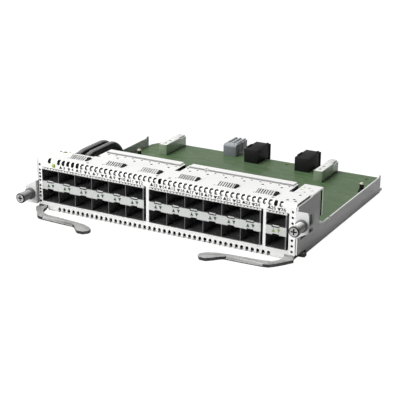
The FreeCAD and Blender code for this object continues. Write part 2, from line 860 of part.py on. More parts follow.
def make_lever():
    """Right-hand ejector lever, folded flat in front of the card."""
    t = lever_thickness
    high = lever_high_z
    plan = prism_xy(lever_outline(), lever_low_z - 1, high + t + 1)
    rounds = []
    for edge in plan.Edges:
        a = edge.Vertexes[0].Point
        b = edge.Vertexes[1].Point
        upright = abs(a.x - b.x) < 0.01 and abs(a.y - b.y) < 0.01
        grip = a.x < pivot_x - 46.0
        elbow = abs(a.x - pivot_x + 6.3) < 0.1 or abs(a.x - pivot_x - 5.7) < 0.1
        if upright and (grip or elbow):
            rounds.append(edge)
    plan = plan.makeFillet(1.4, rounds)
    front = plan.common(prism_yz(lever_side(), pivot_x - 60.0, pivot_x + 10.0))
    neck = box(pivot_x - 2.9, pivot_x + 4.3, pivot_y - 6.75, pivot_y, high, high + t)
    disc = rod_z(4.7, high, high + t, pivot_x, pivot_y)
    claw = prism_xy([(pivot_x, 3.2), (pivot_x + 5.1, 5.6), (pivot_x + 8.7, 6.0),
                     (pivot_x + 8.7, 9.8), (pivot_x + 5.1, 10.4), (pivot_x, 11.8)], high, high + t)
    top = lever_low_z + t
    bevel = prism_yz([(-30, top - 1.5), (-18.3, top - 1.5), (-16.8, top + 0.05), (-30, top + 0.05)],
                     pivot_x - 37.7, pivot_x - 10.3)
    lever = joined([front, neck, disc, claw]).cut(bevel)
    return lever.cut(rod_z(pin_radius + running_clearance, -1, 6, pivot_x, pivot_y))


def make_lever_pin():
    top = lever_high_z + lever_thickness + 0.06
    shank = rod_z(pin_radius, 0, top, pivot_x, pivot_y)
    collar = rod_z(3.4, tray_thickness, lever_high_z - 0.06, pivot_x, pivot_y)
    head = rod_z(3.2, top, top + 0.6, pivot_x, pivot_y)
    return joined([shank, collar, head])


def make_ferrule(z):
    """Pressed bush that guides the sleeve through the ear."""
    flange = rod_y(ferrule_radius + 0.4, ear_front_y - 2.2, ear_front_y, screw_axis_x, z)
    tube = rod_y(ferrule_radius, ear_front_y, ear_front_y + 2.0, screw_axis_x, z)
    body = joined([flange, tube])
    bore = rod_y(sleeve_radius + running_clearance, ear_front_y - 3, ear_front_y + 3,
                 screw_axis_x, z)
    return body.cut(bore)


def make_sleeve(z):
    """Sliding sleeve with a ring behind the ear that keeps it in."""
    back = ear_front_y + 2.7
    body = rod_y(sleeve_radius, sleeve_front_y, back, screw_axis_x, z)
    ring = rod_y(ferrule_radius, ear_front_y + 2.05, back, screw_axis_x, z)
    body = joined([body, ring])
    return body.cut(rod_y(shank_radius + running_clearance, sleeve_front_y - 1, 2, screw_axis_x, z))


def make_screw(z):
    """Captive screw with a cross recess in its head and a groove behind the head."""
    neck_front = sleeve_front_y - 0.08 - neck_length
    front = neck_front - head_length
    x = screw_axis_x
    head = rod_y(head_radius, front, neck_front, x, z)
    rims = [e for e in head.Edges if abs(e.BoundBox.YMax - front) < 0.01 and len(e.Vertexes) < 2]
    head = head.makeChamfer(0.5, rims)
    neck = rod_y(shank_radius + 0.6, neck_front, neck_front + neck_length, x, z)
    shank = rod_y(shank_radius, neck_front, 4.2, x, z)
    tip = Part.makeCone(shank_radius, shank_radius - 0.65, 0.8, V(x, 4.2, z), V(0, 1, 0))
    screw = joined([head, neck, shank, tip])
    half = recess_width / 2
    reach = recess_reach
    recess = [box(x - reach, x + reach, front - 1, front + 2.0, z - half, z + half),
              box(x - half, x + half, front - 1, front + 2.0, z - reach, z + reach)]
    return without(screw, recess)


def block_screw_ys():
    return (block_front_y + 4.5, block_front_y + 20.5)


def make_guide_block(x):
    """Guide block with a pin bore in its back end."""
    top = board_top_z + block_height
    body = rounded_box(x, x + block_width, block_front_y, board_back_y, board_top_z, top, 0.5, "y")
    mid = x + block_width / 2
    right = x + block_width
    tools = [rod_y(2.2, board_back_y - 9.0, board_back_y + 1, mid, board_top_z + 4.4),
             rod_z(1.1, top - 2.4, top + 1, mid, block_front_y + 5.4),
             rod_z(1.1, top - 2.4, top + 1, mid, block_front_y + 13.0),
             box(right - 1.3, right + 1, board_back_y - 10.0, board_back_y + 1, top - 1.2, top + 1)]
    for y in block_screw_ys():
        tools.append(rod_z(1.25, board_top_z - 1, board_top_z + 4.0, mid, y))
    return without(body, tools)


def make_block_screws():
    screws = []
    for x in block_left_x:
        for y in block_screw_ys():
            mid = x + block_width / 2
            shank = rod_z(1.2, board_low_z, board_top_z + 3.6, mid, y)
            head = rod_z(2.4, board_low_z - 1.6, board_low_z, mid, y)
            screws.append(joined([shank, head]))
    return screws


def make_backplane_connector(x):
    """Black connector on the back edge with a key, a stop and an open mating face."""
    low = board_top_z
    top = low + connector_height
    right = x + connector_width
    back = connector_back_y
    rim = back - connector_rim
    body = joined([box(x, right, connector_front_y, rim, low, top),
                   box(x, x + 1.3, connector_front_y + 4.5, connector_front_y + 13.0, low, top + 0.8),
                   box(right - 1.8, right, rim - 2.9, rim - 0.5, low, top + 1.1),
                   box(x - 0.2, right + 0.8, rim, back, low - 2.3, top - 0.2)])
    mouth = box(x + 1.2, right - 1.2, back - 7.8, back + 1, low + 1.3, top - 1.0)
    return without(body, [mouth])


def make_connector_pins():
    pins = []
    back = connector_back_y
    for x in connector_x:
        for column in range(4):
            for row in range(4):
                px = x + 2.7 + column * 2.2
                pz = board_top_z + 2.6 + row * 2.1
                pins.append(box(px - 0.3, px + 0.3, back - 7.8, back - 1.3, pz - 0.3, pz + 0.3))
    return pins


def make_power_connector():
    """Grey connector seated on the board, whose back half hangs over the edge."""
    x0 = power_x
    x1 = power_x + power_width
    low = board_top_z
    top = low + power_height
    back = power_back_y
    front = board_back_y - 8.5
    main = box(x0, x1, front, power_split_y, low, top)
    brow = edges_at(main, lambda p: abs(p.y - front) < 0.01 and abs(p.z - top) < 0.01)
    main = main.makeChamfer(1.4, brow)
    rear = box(x0 + 0.6, x1 + 0.4, power_split_y, back, low - power_sink, top)
    ribs = [box(x0 + 1.0 + k * 3.9, x0 + 2.6 + k * 3.9, board_back_y - 2.5, back, top, top + 0.9)
            for k in range(3)]
    body = joined([main, rear] + ribs)
    tools = [box(x0 + 1.8 + k * 2.9, x0 + 3.2 + k * 2.9, back - 8.0, back + 2, low + 3.9, low + 8.2)
             for k in range(3)]
    tools.append(box(x1 - 0.6, x1 + 1, board_back_y - 5.5, board_back_y - 3.0, low + 1.0, top + 0.1))
    return without(body, tools)


def make_power_blades():
    x0 = power_x
    back = power_back_y
    return [box(x0 + 2.2 + k * 2.9, x0 + 2.8 + k * 2.9, back - 8.0, back - 0.8,
                board_top_z + 4.4, board_top_z + 7.7) for k in range(3)]


def make_status_lens():
    body = rod_y(1.55, -0.3, face_thickness + 0.9, status_x, status_z)
    dome = Part.makeSphere(1.75, V(status_x, 0.55, status_z))
    cap = dome.common(box(status_x - 2, status_x + 2, -2, -0.3, status_z - 2, status_z + 2))
    return joined([body, cap])


def tangent_arc(x, start, heading, radius, turn):
    """An arc in the plane at x that leaves start at a heading in degrees and turns."""
    side = 1 if turn > 0 else -1
    facing = math.radians(heading + 90 * side)
    cy = start[0] + radius * math.cos(facing)
    cz = start[1] + radius * math.sin(facing)
    points = []
    for part in (0.5, 1.0):
        angle = math.radians(heading - 90 * side + turn * part)
        points.append((cy + radius * math.cos(angle), cz + radius * math.sin(angle)))
    middle, end = points
    edge = Part.Arc(V(x, *start), V(x, *middle), V(x, *end)).toShape()
    return edge, end


def make_cable(x):
    """One round jacket from the status board plug over the cages to the board."""
    rise = cable_z - cable_start_z
    ramp_turn = math.degrees(math.acos(1 - rise / (2 * cable_ramp_radius)))
    start = (cable_start_y, cable_start_z)
    first = (cable_start_y + 1.5, cable_start_z)
    runs = [Part.LineSegment(V(x, *start), V(x, *first)).toShape()]
    up, corner = tangent_arc(x, first, 0, cable_ramp_radius, ramp_turn)
    level, corner = tangent_arc(x, corner, ramp_turn, cable_ramp_radius, -ramp_turn)
    bend = (cable_bend_y, cable_z)
    runs.extend([up, level, Part.LineSegment(V(x, *corner), V(x, *bend)).toShape()])
    over, corner = tangent_arc(x, bend, 0, cable_bend_radius, -90)
    runs.append(over)
    foot = (corner[0], cable_end_z)
    runs.append(Part.LineSegment(V(x, *corner), V(x, *foot)).toShape())
    ring = Part.Wire(Part.makeCircle(cable_radius, V(x, *start), V(0, 1, 0)))
    return Part.Wire(runs).makePipeShell([ring], True, True)


def make_cable_ends():
    low = status_board_z + 1.0
    plug = box(cable_x[0] - 3.6, cable_x[1] + 3.6, 19.0, cable_start_y, low, under_flange_z - 0.6)
    y = cable_bend_y + cable_bend_radius
    socket = box(cable_x[0] - 4.0, cable_x[1] + 4.0, y - 4.6, y + 4.6, board_top_z, cable_end_z)
    return plug, socket


def make_heat_sink(x0, x1, y0, y1, low):
    base = box(x0, x1, y0, y1, low, low + 1.8)
    fins = []
    count = 13
    pitch = (x1 - x0 - 1.0) / (count - 1)
    for k in range(count):
        x = x0 + k * pitch
        fins.append(box(x, x + 1.0, y0, y1, low + 1.8, low + 8.4))
    return joined([base] + fins)


def chips(places, width, depth, height):
    return [box(x - width / 2, x + width / 2, y - depth / 2, y + depth / 2,
                board_top_z, board_top_z + height) for x, y in places]


def cylinders(places, radius, height):
    return [rod_z(radius, board_top_z, board_top_z + height, x, y) for x, y in places]


def build_ports():
    for name, x, columns in groups():
        save("port_cage_" + name, [make_cage(x, columns)])
        save("port_sockets_" + name, make_port_sockets(x, columns))
        save("spring_fingers_" + name, [make_spring_fingers(x, columns)])
        save("light_pipes_" + name, make_light_pipes(x, columns))
    save("port_lights", make_port_lights())


def build_housing():
    save("faceplate", [make_faceplate()])
    save("base_tray", [make_tray()])
    left, right, end = make_hood_panels()
    save("hood_panel_left", [left])
    save("hood_panel_right", [right])
    save("hood_panel_end", [end])
    save("hood_stiffener_left", [make_stiffener(left_panel_x[0], left_panel_x[1] - 1.8, [])])
    notch = right_panel_x[0] + 14.4
    save("hood_stiffener_right", [make_stiffener(right_panel_x[0] + 2.0, right_panel_x[1] - 1.6,
                                                 [(notch, notch + 3.3)])])
    save("hood_springs", make_window_springs())
    save("hood_spring_ends", make_spring_ends())
    save("hood_rivets", make_rivets())


def build_front():
    lever = make_lever()
    save("ejector_lever_right", [lever])
    save("ejector_lever_left", [mirrored(lever)])
    pin = make_lever_pin()
    save("lever_pins", [pin, mirrored(pin)])
    save("screw_ferrules", [make_ferrule(right_screw_z), mirrored(make_ferrule(left_screw_z))])
    save("screw_sleeve_right", [make_sleeve(right_screw_z)])
    save("screw_sleeve_left", [mirrored(make_sleeve(left_screw_z))])
    save("captive_screw_right", [make_screw(right_screw_z)])
    save("captive_screw_left", [mirrored(make_screw(left_screw_z))])


def build_status():
    low = status_board_z
    left = status_x - 8.0
    right = cable_x[1] + 7.8
    save("status_lens", [make_status_lens()])
    save("status_light", [box(status_x - 1.6, status_x + 1.6, face_thickness + 0.9, 5.4,
                              low + 1.0, status_z + 1.8)])
    save("status_block", [box(status_x - 3.6, status_x - 1.6, 18.1, 20.4, low + 1.0,
                              card_height - 0.3)])
    save("status_board", [box(left, right, 1.6, cable_start_y, low, low + 1.0)])
    save("status_pad", [box(left + 2.0, right - 2.0, 7.0, cable_start_y - 1.0,
                            port_top_z + cage_wall, low)])
    plug, socket = make_cable_ends()
    save("cable_plug", [plug])
    save("cable_socket", [socket])
    save("status_cables", [make_cable(x) for x in cable_x])


def build_board():
    save("circuit_board", [make_board()])
    save("board_standoffs", make_standoffs())
    save("board_screws", make_board_screws())
    save("board_posts", make_posts())
    save("board_post_caps", make_post_caps())
    save("guide_block_left", [make_guide_block(block_left_x[0])])
    save("guide_block_right", [make_guide_block(block_left_x[1])])
    save("guide_block_screws", make_block_screws())
    save("backplane_connector_left", [make_backplane_connector(connector_x[0])])
    save("backplane_connector_right", [make_backplane_connector(connector_x[1])])
    save("backplane_pins", make_connector_pins())
    save("power_connector", [make_power_connector()])
    save("power_blades", make_power_blades())


def build_components():
    chip_top = board_top_z + 2.4
    save("switch_chip", [box(-24.0, 11.0, 64.0, 99.0, board_top_z, chip_top)])
    save("chip_heat_sink", [make_heat_sink(-28.0, 15.0, 60.0, 98.0, chip_top)])
    save("retimer_chips", chips([(-48.0, 60.0), (-34.0, 60.0), (30.0, 60.0), (46.0, 60.0)],
                                9.0, 9.0, 1.2))
    save("memory_chips", chips([(34.0, 78.0), (34.0, 92.0)], 12.0, 9.0, 1.1))
    save("power_modules", chips([(-48.0, 92.0), (58.0, 92.0)], 20.0, 18.0, 6.0))
    save("power_inductors", chips([(-48.0, 74.0), (-37.0, 74.0), (52.0, 75.0), (64.0, 75.0)],
                                  8.0, 8.0, 4.0))
    save("board_capacitors", cylinders([(-63.5, 72.0), (-63.5, 79.0), (-63.5, 86.0),
                                        (76.0, 84.0), (76.0, 91.0), (76.0, 98.0)], 2.5, 5.0))


def main():
    os.makedirs("parts", exist_ok=True)
    build_housing()
    build_ports()
    build_front()
    build_status()
    build_board()
    build_components()


main()
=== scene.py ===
import logging
import math
from dataclasses import dataclass, replace
from enum import Enum
from typing import Callable, Sequence

import bmesh
import bpy
from mathutils import Matrix, Vector


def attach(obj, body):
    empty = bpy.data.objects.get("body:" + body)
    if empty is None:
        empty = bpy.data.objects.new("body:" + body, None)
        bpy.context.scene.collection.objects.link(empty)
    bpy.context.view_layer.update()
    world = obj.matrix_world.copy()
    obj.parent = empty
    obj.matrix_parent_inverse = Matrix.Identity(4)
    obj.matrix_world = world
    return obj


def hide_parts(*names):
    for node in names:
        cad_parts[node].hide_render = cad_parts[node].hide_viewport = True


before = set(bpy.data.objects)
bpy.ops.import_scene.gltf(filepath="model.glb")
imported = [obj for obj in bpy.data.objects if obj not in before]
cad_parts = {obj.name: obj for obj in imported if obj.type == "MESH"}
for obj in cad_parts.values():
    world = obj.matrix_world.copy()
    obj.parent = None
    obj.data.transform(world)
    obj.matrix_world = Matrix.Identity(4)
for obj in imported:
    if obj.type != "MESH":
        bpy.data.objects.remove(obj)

LOG = logging.getLogger("line_card")

MM = 0.001
CARD = "card"
SMOOTH_ANGLE = math.radians(38.0)
TOWARDS = 0.5  # a face looks along an axis where its normal's part along it is over this
Point = tuple[float, float, float]
Range = tuple[float, float]
Colour = tuple[float, float, float]
Socket = bpy.types.NodeSocket

# Places on the card, in millimetres: the left edge and the number of columns of each port group, the
# screws' axes, the board's top and the posts on it
PORT_PITCH = 14.25
PORT_GROUPS = ((-98.7, 6), (-8.4, 6), (81.6, 1))
SCREW_X = 108.2
SCREW_Z = {"left": 12.0, "right": 27.6}
BOARD_TOP = 6.9
POSTS = ((-94.5, 128.5), (95.6, 140.0))


class Axis(Enum):
    """The row axes, with their place in a vector."""

    X = 0
    Y = 1
    Z = 2


class Slot(Enum):
    """The record's material slots, listed with the new pieces."""

    LEVER = "lever_steel"
    BRIGHT = "bright_steel"
    CAGE = "cage_steel"
    BLACK = "black_plastic"
    GREY = "grey_plastic"
    BLOCK = "block_aluminium"


class Graph:
    """Adds and links the nodes of one finish."""

    def __init__(self, name: str) -> None:
        """Start a node material.

        Args:
            name: The material's name.
        """
        self.material = bpy.data.materials.new(name)
        self.material.use_nodes = True
        self.tree = self.material.node_tree
        self.shader = self.tree.nodes["Principled BSDF"]
        self.coords = self.tree.nodes.new("ShaderNodeTexCoord").outputs["Object"]

    def link(self, source: Socket, target: Socket) -> None:
        """Join an output to an input."""
        self.tree.links.new(source, target)

    def feed(self, target: Socket, value: object) -> None:
        """Link a socket, or set it where the value is a plain number or colour.

        Args:
            target: The input to fill.
            value: Another node's output, a number or a colour.
        """
        if isinstance(value, bpy.types.NodeSocket):
            self.link(value, target)
        elif isinstance(value, tuple):
            target.default_value = (*value, 1.0) if len(value) == 3 and target.type == "RGBA" else value
        else:
            target.default_value = value

    def stretched(self, scale: Point, turn: float = 0.0) -> Socket:
        """Scale the object's coordinates and turn them about the vertical.

        Args:
            scale: Factor along each axis.
            turn: Turn in degrees.

        Returns:
            The new coordinates.
        """
        node = self.tree.nodes.new("ShaderNodeMapping")
        self.link(self.coords, node.inputs["Vector"])
        node.inputs["Scale"].default_value = scale
        node.inputs["Rotation"].default_value = (0.0, 0.0, math.radians(turn))
        return node.outputs["Vector"]

    def noise(self, scale: float, detail: float = 2.0, vector: Socket | None = None) -> Socket:
        """Soft random value between 0 and 1.

        Args:
            scale: Repeats per metre.
            detail: Number of finer layers.
            vector: Coordinates, or none for the object's own.

        Returns:
            The value.
        """
        node = self.tree.nodes.new("ShaderNodeTexNoise")
        node.inputs["Scale"].default_value = scale
        node.inputs["Detail"].default_value = detail
        self.link(vector or self.coords, node.inputs["Vector"])
        return node.outputs["Fac"]

    def cells(self, randomness: float, vector: Socket) -> Socket:
        """Distance to the nearest of many scattered points."""
        node = self.tree.nodes.new("ShaderNodeTexVoronoi")
        node.inputs["Scale"].default_value = 1.0
        node.inputs["Randomness"].default_value = randomness
        self.link(vector, node.inputs["Vector"])
        return node.outputs["Distance"]

    def math(self, operation: str, first: object, second: object = 0.0) -> Socket:
        """One arithmetic step on two values."""
        node = self.tree.nodes.new("ShaderNodeMath")
        node.operation = operation
        self.feed(node.inputs[0], first)
        self.feed(node.inputs[1], second)
        return node.outputs[0]

    def remap(self, value: Socket, low: float, high: float, out_low: float = 0.0,
              out_high: float = 1.0) -> Socket:
        """Carry a value from one range to another, held at the ends.

        Args:
            value: The value.
            low: Where the output starts to change.
            high: Where it stops.
            out_low: Output at low.
            out_high: Output at high.

        Returns:
            The new value.
        """
        node = self.tree.nodes.new("ShaderNodeMapRange")
        self.link(value, node.inputs["Value"])
        node.inputs["From Min"].default_value = low
        node.inputs["From Max"].default_value = high
        node.inputs["To Min"].default_value = out_low
        node.inputs["To Max"].default_value = out_high
        return node.outputs["Result"]

    def above(self, value: Socket, limit: float) -> Socket:
        """One where the value is over a limit, else zero."""
        return self.math("GREATER_THAN", value, limit)

    def below(self, value: Socket, limit: float) -> Socket:
        """One where the value is under a limit, else zero."""
        return self.math("LESS_THAN", value, limit)

    def between(self, value: Socket, limits: Range) -> Socket:
        """One where a length lies between two limits in millimetres, else zero."""
        return self.all_of(self.above(value, limits[0] * MM), self.below(value, limits[1] * MM))

    def all_of(self, first: Socket, *others: Socket) -> Socket:
        """One where every mask is one."""
        for other in others:
            first = self.math("MULTIPLY", first, other)
        return first

    def any_of(self, first: Socket, *others: Socket) -> Socket:
        """One where any mask is one."""
        for other in others:
            first = self.math("MAXIMUM", first, other)
        return first

    def outside(self, mask: Socket) -> Socket:
        """One where a mask is zero."""
        return self.math("SUBTRACT", 1.0, mask)

    def blend(self, factor: object, first: object, second: object) -> Socket:
        """Mix two colours by a factor."""
        node = self.tree.nodes.new("ShaderNodeMix")
        node.data_type = "RGBA"
        self.feed(node.inputs[0], factor)
        self.feed(node.inputs[6], first)
        self.feed(node.inputs[7], second)
        return node.outputs[2]

    def split(self, vector: Socket) -> list[Socket]:
        """The three parts of a vector."""
        node = self.tree.nodes.new("ShaderNodeSeparateXYZ")
        self.link(vector, node.inputs[0])
        return list(node.outputs)

    def along(self, axis: Axis) -> Socket:
        """The object coordinate along one axis, in metres."""
        return self.split(self.coords)[axis.value]

    def facing(self, axis: Axis) -> Socket:
        """The surface normal's part along one axis."""
        normal = self.tree.nodes.new("ShaderNodeNewGeometry").outputs["Normal"]
        return self.split(normal)[axis.value]

    def bump(self, height: Socket, strength: float, distance: float) -> None:
        """Let a height value tilt the surface.

        Args:
            height: The height value, 0 to 1.
            strength: How strongly it acts.
            distance: The height of a full step, in metres.
        """
        node = self.tree.nodes.new("ShaderNodeBump")
        node.inputs["Strength"].default_value = strength
        node.inputs["Distance"].default_value = distance
        self.link(height, node.inputs["Height"])
        self.link(node.outputs["Normal"], self.shader.inputs["Normal"])


@dataclass(frozen=True)
class Finish:
    """A surface finish with fine grain, soft blotches and an uneven gloss.

    The grain is in repeats per metre along each axis, the blotches in repeats per metre, and the relief
    in metres. The swings say how far colour and gloss stray.
    """

    name: str
    colour: Colour
    roughness: float = 0.5
    metallic: float = 0.0
    grain: Point = (900.0, 900.0, 900.0)
    swing: float = 0.08
    blotch: float = 60.0
    relief: float = 0.00002
    gloss_swing: float = 0.1
    coat: float = 0.0
    specular: float = 0.5

    def build(self) -> bpy.types.Material:
        """Make the node material.

        Returns:
            The finished material.
        """
        graph = Graph(self.name)
        graph.shader.inputs["Metallic"].default_value = self.metallic
        graph.shader.inputs["Coat Weight"].default_value = self.coat
        graph.shader.inputs["Specular IOR Level"].default_value = self.specular
        fine = graph.noise(1.0, 3.0, graph.stretched(self.grain))
        broad = graph.noise(self.blotch, 2.0)
        mottling = graph.math("ADD", graph.math("MULTIPLY", fine, 0.6), graph.math("MULTIPLY", broad, 0.4))
        graph.link(self.tone(graph, mottling), graph.shader.inputs["Base Color"])
        rough = graph.remap(broad, 0.3, 0.7, self.roughness - self.gloss_swing,
                            self.roughness + self.gloss_swing)
        graph.link(rough, graph.shader.inputs["Roughness"])
        graph.bump(fine, 0.5, self.relief)
        self.dress(graph)
        return graph.material

    def shade(self, factor: float) -> Colour:
        """The finish's colour made lighter or darker."""
        return tuple(min(1.0, part * factor) for part in self.colour)

    def tone(self, graph: Graph, value: Socket) -> Socket:
        """The colour that a mottling value gives.

        Args:
            graph: The material's graph.
            value: Mottling, about 0.3 to 0.7.

        Returns:
            The colour.
        """
        share = graph.remap(value, 0.35, 0.65)
        return graph.blend(share, self.shade(1 - self.swing), self.shade(1 + self.swing))

    def dress(self, graph: Graph) -> None:
        """Add what only this finish has."""


@dataclass(frozen=True)
class CageFinish(Finish):
    """Thin tinned sheet with painted shade inside the ports, on their mouths, on faces that look down, under
    the hood and on the right flank, and roof holes painted dark.
    """

    # Painted shade colours: the ports from mouth to deep in, the divider rims, the roof under the hood and
    # the holes
    inside: Colour = (0.095, 0.095, 0.097)
    deep: Colour = (0.24, 0.24, 0.245)
    paling: Range = (1.0, 16.0)
    mouth: Range = (-0.85, -0.6)
    speck: Colour = (0.30, 0.30, 0.30)
    speck_scale: float = 700.0
    speck_limit: float = 0.72
    rim: Colour = (0.19, 0.19, 0.192)
    roof_z: float = 31.8
    back_y: float = 45.8
    band: Range = (16.9, 23.0)
    lip_y: float = -1.1
    divider_half: float = 0.52
    group_lead: float = 2.0
    covered: Colour = (0.03, 0.03, 0.03)
    cover_left: float = -66.0
    cover_depth: Range = (0.0, 40.5)
    flank_x: float = 94.0
    flank_y: float = 1.5
    hole: Colour = (0.02, 0.02, 0.02)
    hole_pitch: float = 3.5
    hole_share: float = 0.26

    def dividers(self, graph: Graph) -> Socket:
        """One along the thin walls between the port columns, zero elsewhere."""
        x = graph.along(Axis.X)
        place = x
        for (before, _), (left, _) in zip(PORT_GROUPS, PORT_GROUPS[1:]):
            beyond = graph.above(x, (left - self.group_lead) * MM)
            step = graph.math("MULTIPLY", beyond, (left - before) * MM)
            place = graph.math("SUBTRACT", place, step)
        start = (self.divider_half - PORT_GROUPS[0][0]) * MM
        share = graph.math("DIVIDE", graph.math("ADD", place, start), PORT_PITCH * MM)
        return graph.below(graph.math("FRACT", share), 2 * self.divider_half / PORT_PITCH)

    def tone(self, graph: Graph, value: Socket) -> Socket:
        """Bright band and lips; painted shade in the ports that pales with depth, with pale specks; painted
        shade on the mouths, undersides, hood roof and flank; dark painted holes.
        """
        x, y, level = graph.split(graph.coords)
        across, up = graph.facing(Axis.X), graph.facing(Axis.Z)
        # painted shade inside the ports: dark at the mouth, paler deeper in, with pale specks
        port = graph.blend(graph.remap(y, self.paling[0] * MM, self.paling[1] * MM), self.inside, self.deep)
        specks = graph.above(graph.noise(self.speck_scale, 0.0), self.speck_limit)
        port = graph.blend(specks, port, self.speck)
        behind = graph.all_of(graph.below(level, self.roof_z * MM), graph.below(y, self.back_y * MM),
                              graph.remap(y, self.mouth[0] * MM, self.mouth[1] * MM))
        shown = graph.blend(behind, super().tone(graph, value), port)
        # painted shade on the front edges round the ports, dark grey on the divider edges
        ends = graph.all_of(graph.between(y, (self.lip_y, self.mouth[1])),
                            graph.outside(graph.between(level, self.band)))
        shown = graph.blend(ends, shown, graph.blend(self.dividers(graph), self.inside, self.rim))
        # painted shade on every face that looks down
        shown = graph.blend(graph.below(up, -TOWARDS), shown, self.inside)
        roof = graph.above(level, self.roof_z * MM)
        # painted shade on the roof under the hood and on the right flank of the end cage
        hidden = graph.all_of(roof, graph.above(x, self.cover_left * MM), graph.between(y, self.cover_depth))
        flank = graph.all_of(graph.above(across, TOWARDS), graph.above(x, self.flank_x * MM),
                             graph.above(y, self.flank_y * MM))
        shown = graph.blend(graph.any_of(hidden, flank), shown, self.covered)
        # dark painted spots stand for the punched roof holes and the shade in them
        repeats = 1 / (self.hole_pitch * MM)
        grid = graph.cells(0.0, graph.stretched((repeats, repeats, 0.0)))
        hole = graph.all_of(roof, graph.above(up, TOWARDS), graph.below(grid, self.hole_share))
        return graph.blend(hole, shown, self.hole)


@dataclass(frozen=True)
class FaceFinish(Finish):
    """Bright sheet with painted shade on the walls of its slots and holes, and behind the bottom slots."""

    # colour of the painted shade on slot and hole walls and behind the bottom slots
    cut: Colour = (0.012, 0.012, 0.013)
    front_y: float = 1.3
    thickness: float = 1.3
    slot_top: float = 6.0
    upper_z: float = 30.0
    panel: Range = (3.0, 38.0)
    sill_z: float = 35.5
    ports_half: float = 98.9
    floor_z: float = 2.0
    lit_part: float = 0.3
    cut_part: float = 0.55

    def tone(self, graph: Graph, value: Socket) -> Socket:
        """Bright skin with painted shade on the slot and hole walls, the slot backs and feet, and the floor
        behind the bottom slots.
        """
        x, y, level = graph.split(graph.coords)
        across, up = graph.facing(Axis.X), graph.facing(Axis.Z)
        # walls that face right low down stay bright; the other side walls of slots and holes take painted
        # shade
        lit = graph.all_of(graph.above(across, self.lit_part), graph.below(level, self.slot_top * MM))
        cut = graph.all_of(graph.above(graph.math("ABSOLUTE", across), self.cut_part), graph.outside(lit))
        # painted shade on the backs of the top slots, on their feet, and on the floor seen through the bottom
        # slots
        back = graph.all_of(graph.below(graph.facing(Axis.Y), -TOWARDS), graph.above(y, self.front_y * MM),
                            graph.above(level, self.upper_z * MM))
        sill = graph.all_of(graph.below(graph.math("ABSOLUTE", x), self.ports_half * MM),
                            graph.below(level, self.sill_z * MM))
        upward = graph.above(up, TOWARDS)
        foot = graph.all_of(upward, graph.between(level, self.panel), graph.below(y, self.thickness * MM),
                            graph.outside(sill))
        floor = graph.all_of(upward, graph.below(level, self.floor_z * MM),
                             graph.above(y, self.thickness * MM))
        return graph.blend(graph.any_of(cut, back, foot, floor), super().tone(graph, value), self.cut)


@dataclass(frozen=True)
class StripFinish(Finish):
    """Bright strip whose folded front face is painted in shade."""

    # colour of the painted shade on the folded front face
    dull: Colour = (0.30, 0.30, 0.30)
    front_part: float = 0.6

    def tone(self, graph: Graph, value: Socket) -> Socket:
        """Bright top, painted shade on the front."""
        front = graph.below(graph.facing(Axis.Y), -self.front_part)
        return graph.blend(front, super().tone(graph, value), self.dull)


@dataclass(frozen=True)
class EndPanelFinish(Finish):
    """Bright sheet whose narrow side strip has painted shade on its front edge."""

    # colour of the painted shade on the strip's front edge, where the gap behind it lies in shade
    edge: Colour = (0.012, 0.012, 0.013)
    strip_y: float = 30.0
    strip_top: float = 38.6

    def tone(self, graph: Graph, value: Socket) -> Socket:
        """Bright skin, painted shade on the strip's front edge."""
        front = graph.all_of(graph.below(graph.facing(Axis.Y), -TOWARDS),
                             graph.above(graph.along(Axis.Y), self.strip_y * MM),
                             graph.below(graph.along(Axis.Z), self.strip_top * MM))
        return graph.blend(front, super().tone(graph, value), self.edge)


@dataclass(frozen=True)
class CombFinish(Finish):
    """Spring sheet with narrow lines of painted shade in the gaps between its teeth."""

    # colour of the painted shade in the gaps between the teeth
    gap: Colour = (0.04, 0.04, 0.04)
    pitch: float = 1.8
    share: float = 0.34

    def tone(self, graph: Graph, value: Socket) -> Socket:
        """Light teeth, painted shade in the gaps."""
        place = graph.math("FRACT", graph.math("DIVIDE", graph.along(Axis.X), self.pitch * MM))
        return graph.blend(graph.below(place, self.share), super().tone(graph, value), self.gap)


@dataclass(frozen=True)
class SidedFinish(Finish):
    """Finish with painted light and shade: its front, right side and underside take their own colours, darker
    or lighter than its top as light falls on each.
    """

    # painted shade colours for the front, the right side and the underside
    front: Colour = (0.5, 0.5, 0.5)
    side: Colour = (0.5, 0.5, 0.5)
    under: Colour = (0.03, 0.03, 0.03)
    front_turn: Range = (-0.35, -0.75)
    side_turn: Range = (0.5, 0.85)
    under_turn: Range = (-0.25, -0.6)

    def tone(self, graph: Graph, value: Socket) -> Socket:
        """Paint light and shade by the way a face looks."""
        shown = super().tone(graph, value)
        shown = graph.blend(graph.remap(graph.facing(Axis.Y), *self.front_turn), shown, self.front)
        shown = graph.blend(graph.remap(graph.facing(Axis.X), *self.side_turn), shown, self.side)
        return graph.blend(graph.remap(graph.facing(Axis.Z), *self.under_turn), shown, self.under)


@dataclass(frozen=True)
class TrayFinish(SidedFinish):
    """Sheet with painted shade by facing, painted light on its right side towards its foot, and painted shade
    on the floor under the cages.
    """

    # painted light near the right side's foot, then painted shade on the floor under the cages
    foot: Colour = (0.62, 0.62, 0.615)
    paling: Range = (30.0, 4.0)
    floor: Colour = (0.012, 0.012, 0.013)
    floor_top: float = 2.5
    floor_back: float = 44.0
    side_part: float = 0.7

    def tone(self, graph: Graph, value: Socket) -> Socket:
        """Paint light on the side near the foot, and painted shade on the floor under the cages."""
        _, y, level = graph.split(graph.coords)
        low = graph.all_of(graph.above(graph.facing(Axis.X), self.side_part),
                           graph.remap(level, self.paling[0] * MM, self.paling[1] * MM))
        shown = graph.blend(low, super().tone(graph, value), self.foot)
        floor = graph.all_of(graph.above(graph.facing(Axis.Z), TOWARDS),
                             graph.below(level, self.floor_top * MM),
                             graph.below(y, self.floor_back * MM))
        return graph.blend(floor, shown, self.floor)


